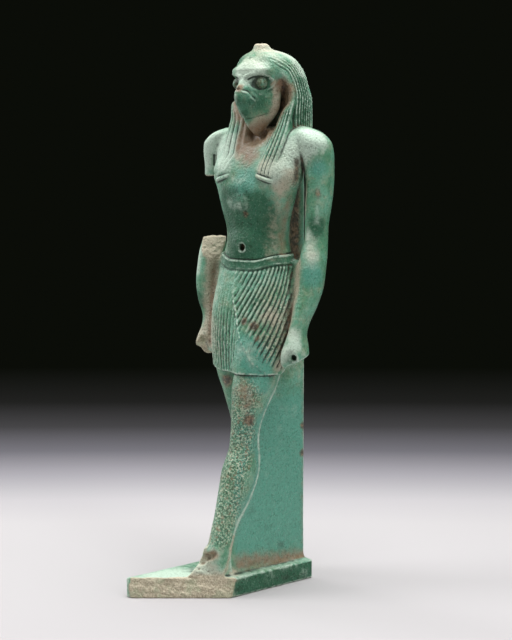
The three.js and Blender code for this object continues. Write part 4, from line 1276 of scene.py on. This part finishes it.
# Black specks: the belly, the advanced leg, the kilt, the left arm, the panel and the plinth's sides.
speckled = together(
    patch((0, -5, 76, 5), (-1, -5, 81, 4), (6, -13, 30, 6), (6, -11, 38, 4), (0, -8, 50, 5)),
    0.35 * patch((16, -2, 60, 6), (16, 1, 80, 6)),
    0.9 * on_plinth_side,
    0.25 * on_panel,
)

# The eyes' rings count as hollows, so the grooves' painted shade darkens them; the lids and the panel's
# rim count as ridges, so they take the ridges' pale wear and painted highlight.
rim_near = trail(0.6, *panel_rim)
eye_socket = patch(
    (3.05, -4.3, 107.0, 0.85), (-3.05, -4.3, 107.0, 0.85), (3.9, -3.5, 105.8, 0.6), (-3.9, -3.5, 105.8, 0.6)
)
outer_lid = patch(
    (5.3, -1.7, 107.0, 0.8), (-5.3, -1.7, 107.0, 0.8), (4.4, -2.7, 108.4, 0.6), (-4.4, -2.7, 108.4, 0.6)
)
fine_hollow = fine_hollow + 0.05 * eyes + 0.6 * eye_socket - 0.30 * outer_lid - 0.25 * rim_near
broad_hollow = broad_hollow - 0.25 * on_panel * smooth(12 - sh, 0, 4)

masks = {
    "fine_hollow": fine_hollow,
    "broad_hollow": broad_hollow,
    "raw_core": raw,
    "upward": normals[:, 2],
    "bleached_and_highlight": bleached_and_highlight,
    "bare": bare,
    "earth_and_shade": earth_and_shade,
    "brown": brown,
    "eyes": eyes,
    "sea": sea,
    "deep_green": deep_green,
    "grainy": grainy,
    "dusty": dusty,
    "speckled": speckled,
}
for name, values in masks.items():
    layer = figure_mesh.attributes.new(name, "FLOAT", "POINT")
    layer.data.foreach_set("value", values.astype(np.float32))

faience = bpy.data.materials.new("faience_glaze")
faience.use_nodes = True
glaze = faience.node_tree
shader = glaze.nodes["Principled BSDF"]
glaze_place = glaze.nodes.new("ShaderNodeTexCoord").outputs["Object"]


def mask(name):
    """A value stored on the skin's points."""
    node = glaze.nodes.new("ShaderNodeAttribute")
    node.attribute_name = name
    return node.outputs["Fac"]


def cloud(size_mm, detail=3.0, roughness=0.55):
    """Noise in the paste's own space, its lumps size_mm across."""
    node = glaze.nodes.new("ShaderNodeTexNoise")
    node.inputs["Scale"].default_value = 1000 / size_mm
    node.inputs["Detail"].default_value = detail
    node.inputs["Roughness"].default_value = roughness
    glaze.links.new(glaze_place, node.inputs["Vector"])
    return node.outputs["Fac"]


def plug(value, socket):
    """Links a value that varies, or sets one that doesn't."""
    if isinstance(value, bpy.types.NodeSocket):
        glaze.links.new(value, socket)
    else:
        socket.default_value = value


def sums(operation, a, b=0.0, c=0.0):
    """One step of arithmetic between two or three values."""
    node = glaze.nodes.new("ShaderNodeMath")
    node.operation = operation
    for value, socket in zip((a, b, c), node.inputs):
        plug(value, socket)
    return node.outputs[0]


def fade(value, start, end):
    """0 at start, 1 at end, eased between."""
    node = glaze.nodes.new("ShaderNodeMapRange")
    node.interpolation_type = "SMOOTHSTEP"
    plug(value, node.inputs["Value"])
    node.inputs["From Min"].default_value = start
    node.inputs["From Max"].default_value = end
    return node.outputs["Result"]


def soft(name, most, size_mm=1.6, ragged=0.5, start=0.10, end=0.80):
    """A patch with a wide ragged edge: the mask plus noise, faded from start to end, up to most."""
    rough_mask = sums("MULTIPLY_ADD", cloud(size_mm), ragged, mask(name))
    return sums("MULTIPLY", fade(rough_mask, start + ragged / 2, end + ragged / 2), most)


def over(amount, below, above, blend="MIX"):
    """One colour laid over another by an amount. A Mix node's colours are its inputs 6 and 7, output 2."""
    node = glaze.nodes.new("ShaderNodeMix")
    node.data_type = "RGBA"
    node.blend_type = blend
    plug(amount, node.inputs[0])
    plug(below, node.inputs[6])
    plug(above, node.inputs[7])
    return node.outputs[2]


PIT_DEPTH = 0.00042
GREEN = (0.095, 0.295, 0.165, 1)
TEAL = (0.155, 0.415, 0.275, 1)
SEA = (0.105, 0.375, 0.275, 1)
DEEP = (0.034, 0.125, 0.068, 1)
WORN = (0.380, 0.440, 0.280, 1)
PALE = (0.580, 0.730, 0.600, 1)
BARE = (0.560, 0.500, 0.370, 1)
DARK = (0.020, 0.042, 0.026, 1)
# These two browns colour dirt, and painted shade in hollows and recesses too.
EARTH_AND_SHADE = (0.075, 0.052, 0.032, 1)
RUST_AND_SHADE = (0.300, 0.190, 0.110, 1)
CREAM = (0.660, 0.590, 0.440, 1)
CREAM_DARK = (0.390, 0.335, 0.230, 1)
SHADE = (0.28, 0.36, 0.29, 1)
BROWN = (0.330, 0.245, 0.165, 1)
OLIVE = (0.130, 0.140, 0.070, 1)
MOTTLE = (0.060, 0.110, 0.055, 1)
MOTTLE_PALE = (0.560, 0.600, 0.440, 1)

# The ground: green and teal clouds with worn spots, then blue-green and dark green patches.
colour = over(fade(cloud(6.0), 0.38, 0.62), GREEN, TEAL)
colour = over(sums("MULTIPLY", fade(cloud(2.2, 5.0, 0.7), 0.46, 0.68), 0.50), colour, WORN)
colour = over(soft("sea", 0.9, 3.0), colour, SEA)
colour = over(soft("deep_green", 0.9, 2.4, 0.8), colour, DEEP)

# Blotches: dark where a fine cloud is thin, pale where it is thick, and rust here and there.
blotches = cloud(0.44, 4.0, 0.62)
colour = over(sums("MULTIPLY", soft("grainy", 0.85), fade(blotches, 0.50, 0.42)), colour, MOTTLE)
colour = over(sums("MULTIPLY", soft("grainy", 0.9), fade(blotches, 0.51, 0.60)), colour, MOTTLE_PALE)
rusty = sums("MULTIPLY", soft("grainy", 0.6), fade(cloud(0.8, 3.0), 0.56, 0.66))
colour = over(rusty, colour, RUST_AND_SHADE)

# Wear and painted highlights: bare and bleached patches, then whatever stands up or faces up, made paler
# both for wear and as a painted highlight.
colour = over(soft("bare", 0.9, 1.2, 0.8), colour, BARE)
# The bleached patches: pale wear, with painted highlights on the belly and the edges of the arm and pillar.
pale_wear_and_highlight = over(sums("MULTIPLY", mask("dusty"), 0.5), PALE, CREAM)
colour = over(soft("bleached_and_highlight", 0.92, 1.6, 0.8), colour, pale_wear_and_highlight)
# Ridges and faces that look up are painted paler: wear and a painted highlight from the light above.
raised_wear_and_highlight = sums("MULTIPLY", fade(mask("fine_hollow"), -0.05, -0.30), 0.85)
top_wear_and_highlight = sums("MULTIPLY", fade(mask("upward"), 0.35, 0.95), 0.45)
paler = sums("MULTIPLY", sums("MAXIMUM", raised_wear_and_highlight, top_wear_and_highlight), fade(cloud(1.2), 0.32, 0.54))
colour = over(paler, colour, over(mask("dusty"), PALE, BARE))

# Hollows: painted shade in the grooves, earth and painted shade in the corners, then the patches of dirt
# and of painted shade.
# Painted shade: the grooves darkened nearly to black.
groove_shade = sums("MULTIPLY", fade(mask("fine_hollow"), 0.03, 0.22), 0.94)
colour = over(groove_shade, colour, DARK)
# Earth and painted shade in the broad hollows.
corner_earth_and_shade = sums("MULTIPLY", fade(mask("broad_hollow"), 0.14, 0.50), fade(cloud(1.6), 0.28, 0.60))
dirt_and_shade = over(fade(cloud(0.9, 4.0), 0.42, 0.66), EARTH_AND_SHADE, RUST_AND_SHADE)
colour = over(sums("MULTIPLY", corner_earth_and_shade, 0.85), colour, dirt_and_shade)
eye_dirt = sums("MULTIPLY", soft("eyes", 0.85, 1.2), fade(cloud(0.7, 4.0), 0.62, 0.44))
colour = over(eye_dirt, colour, OLIVE)
# Brown dirt, and painted shade in the wig's hollows.
brown_dirt_and_shade = over(fade(cloud(1.1, 4.0), 0.40, 0.60), BROWN, RUST_AND_SHADE)
colour = over(soft("brown", 0.95, 1.6, 0.6), colour, brown_dirt_and_shade)
# Dark earth, and painted shade in the recesses at the left arm and in the wig's hollows.
colour = over(soft("earth_and_shade", 0.93, 1.6, 0.5), colour, dirt_and_shade)

# Fine spots over all: black specks, small shadows and pale glints.
specks = sums("MULTIPLY", fade(cloud(0.50, 3.0), 0.56, 0.66), mask("speckled"))
colour = over(sums("MULTIPLY", specks, 0.85), colour, DARK)
fleck_strength = sums("MULTIPLY_ADD", mask("grainy"), 0.3, 0.6)
flecks = sums("MULTIPLY", fade(cloud(0.38, 4.0, 0.65), 0.47, 0.34), fleck_strength)
colour = over(flecks, colour, SHADE, "MULTIPLY")
glints = sums("MULTIPLY", fade(cloud(0.42, 3.0), 0.56, 0.68), 0.15)
colour = over(glints, colour, PALE)

# The breaks: the cream core, darker in its crumbs and paler where it faces up, a painted highlight.
core = over(fade(cloud(0.38, 5.0, 0.75), 0.62, 0.40), CREAM, CREAM_DARK)
core = over(sums("MULTIPLY", fade(cloud(3.0), 0.48, 0.64), 0.45), core, WORN)
# Painted highlight: the core paler where it faces up.
core = over(fade(mask("upward"), 0.30, 0.75), core, CREAM)
colour = over(mask("raw_core"), colour, core)
glaze.links.new(colour, shader.inputs["Base Color"])

# The surface: glassy glaze, dull on bleached patches, painted highlights and breaks, and pitted all over.
roughness = sums("MULTIPLY_ADD", cloud(1.3), 0.35, 0.13)
roughness = sums("MULTIPLY_ADD", sums("MAXIMUM", mask("raw_core"), mask("bleached_and_highlight")), 0.40, roughness)
glaze.links.new(roughness, shader.inputs["Roughness"])
gloss = sums("MULTIPLY_ADD", soft("deep_green", 0.9, 2.4, 0.8), -0.42, 0.5)
glaze.links.new(gloss, shader.inputs["Specular IOR Level"])
bump = glaze.nodes.new("ShaderNodeBump")
bump.inputs["Distance"].default_value = PIT_DEPTH
pitted = sums("MULTIPLY_ADD", sums("MAXIMUM", mask("grainy"), mask("raw_core")), 0.45, 0.55)
glaze.links.new(pitted, bump.inputs["Strength"])
glaze.links.new(cloud(0.5, 4.0), bump.inputs["Height"])
glaze.links.new(bump.outputs["Normal"], shader.inputs["Normal"])
figure_mesh.materials.clear()
figure_mesh.materials.append(faience)

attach(figure, "root")
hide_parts("falcon_figure")
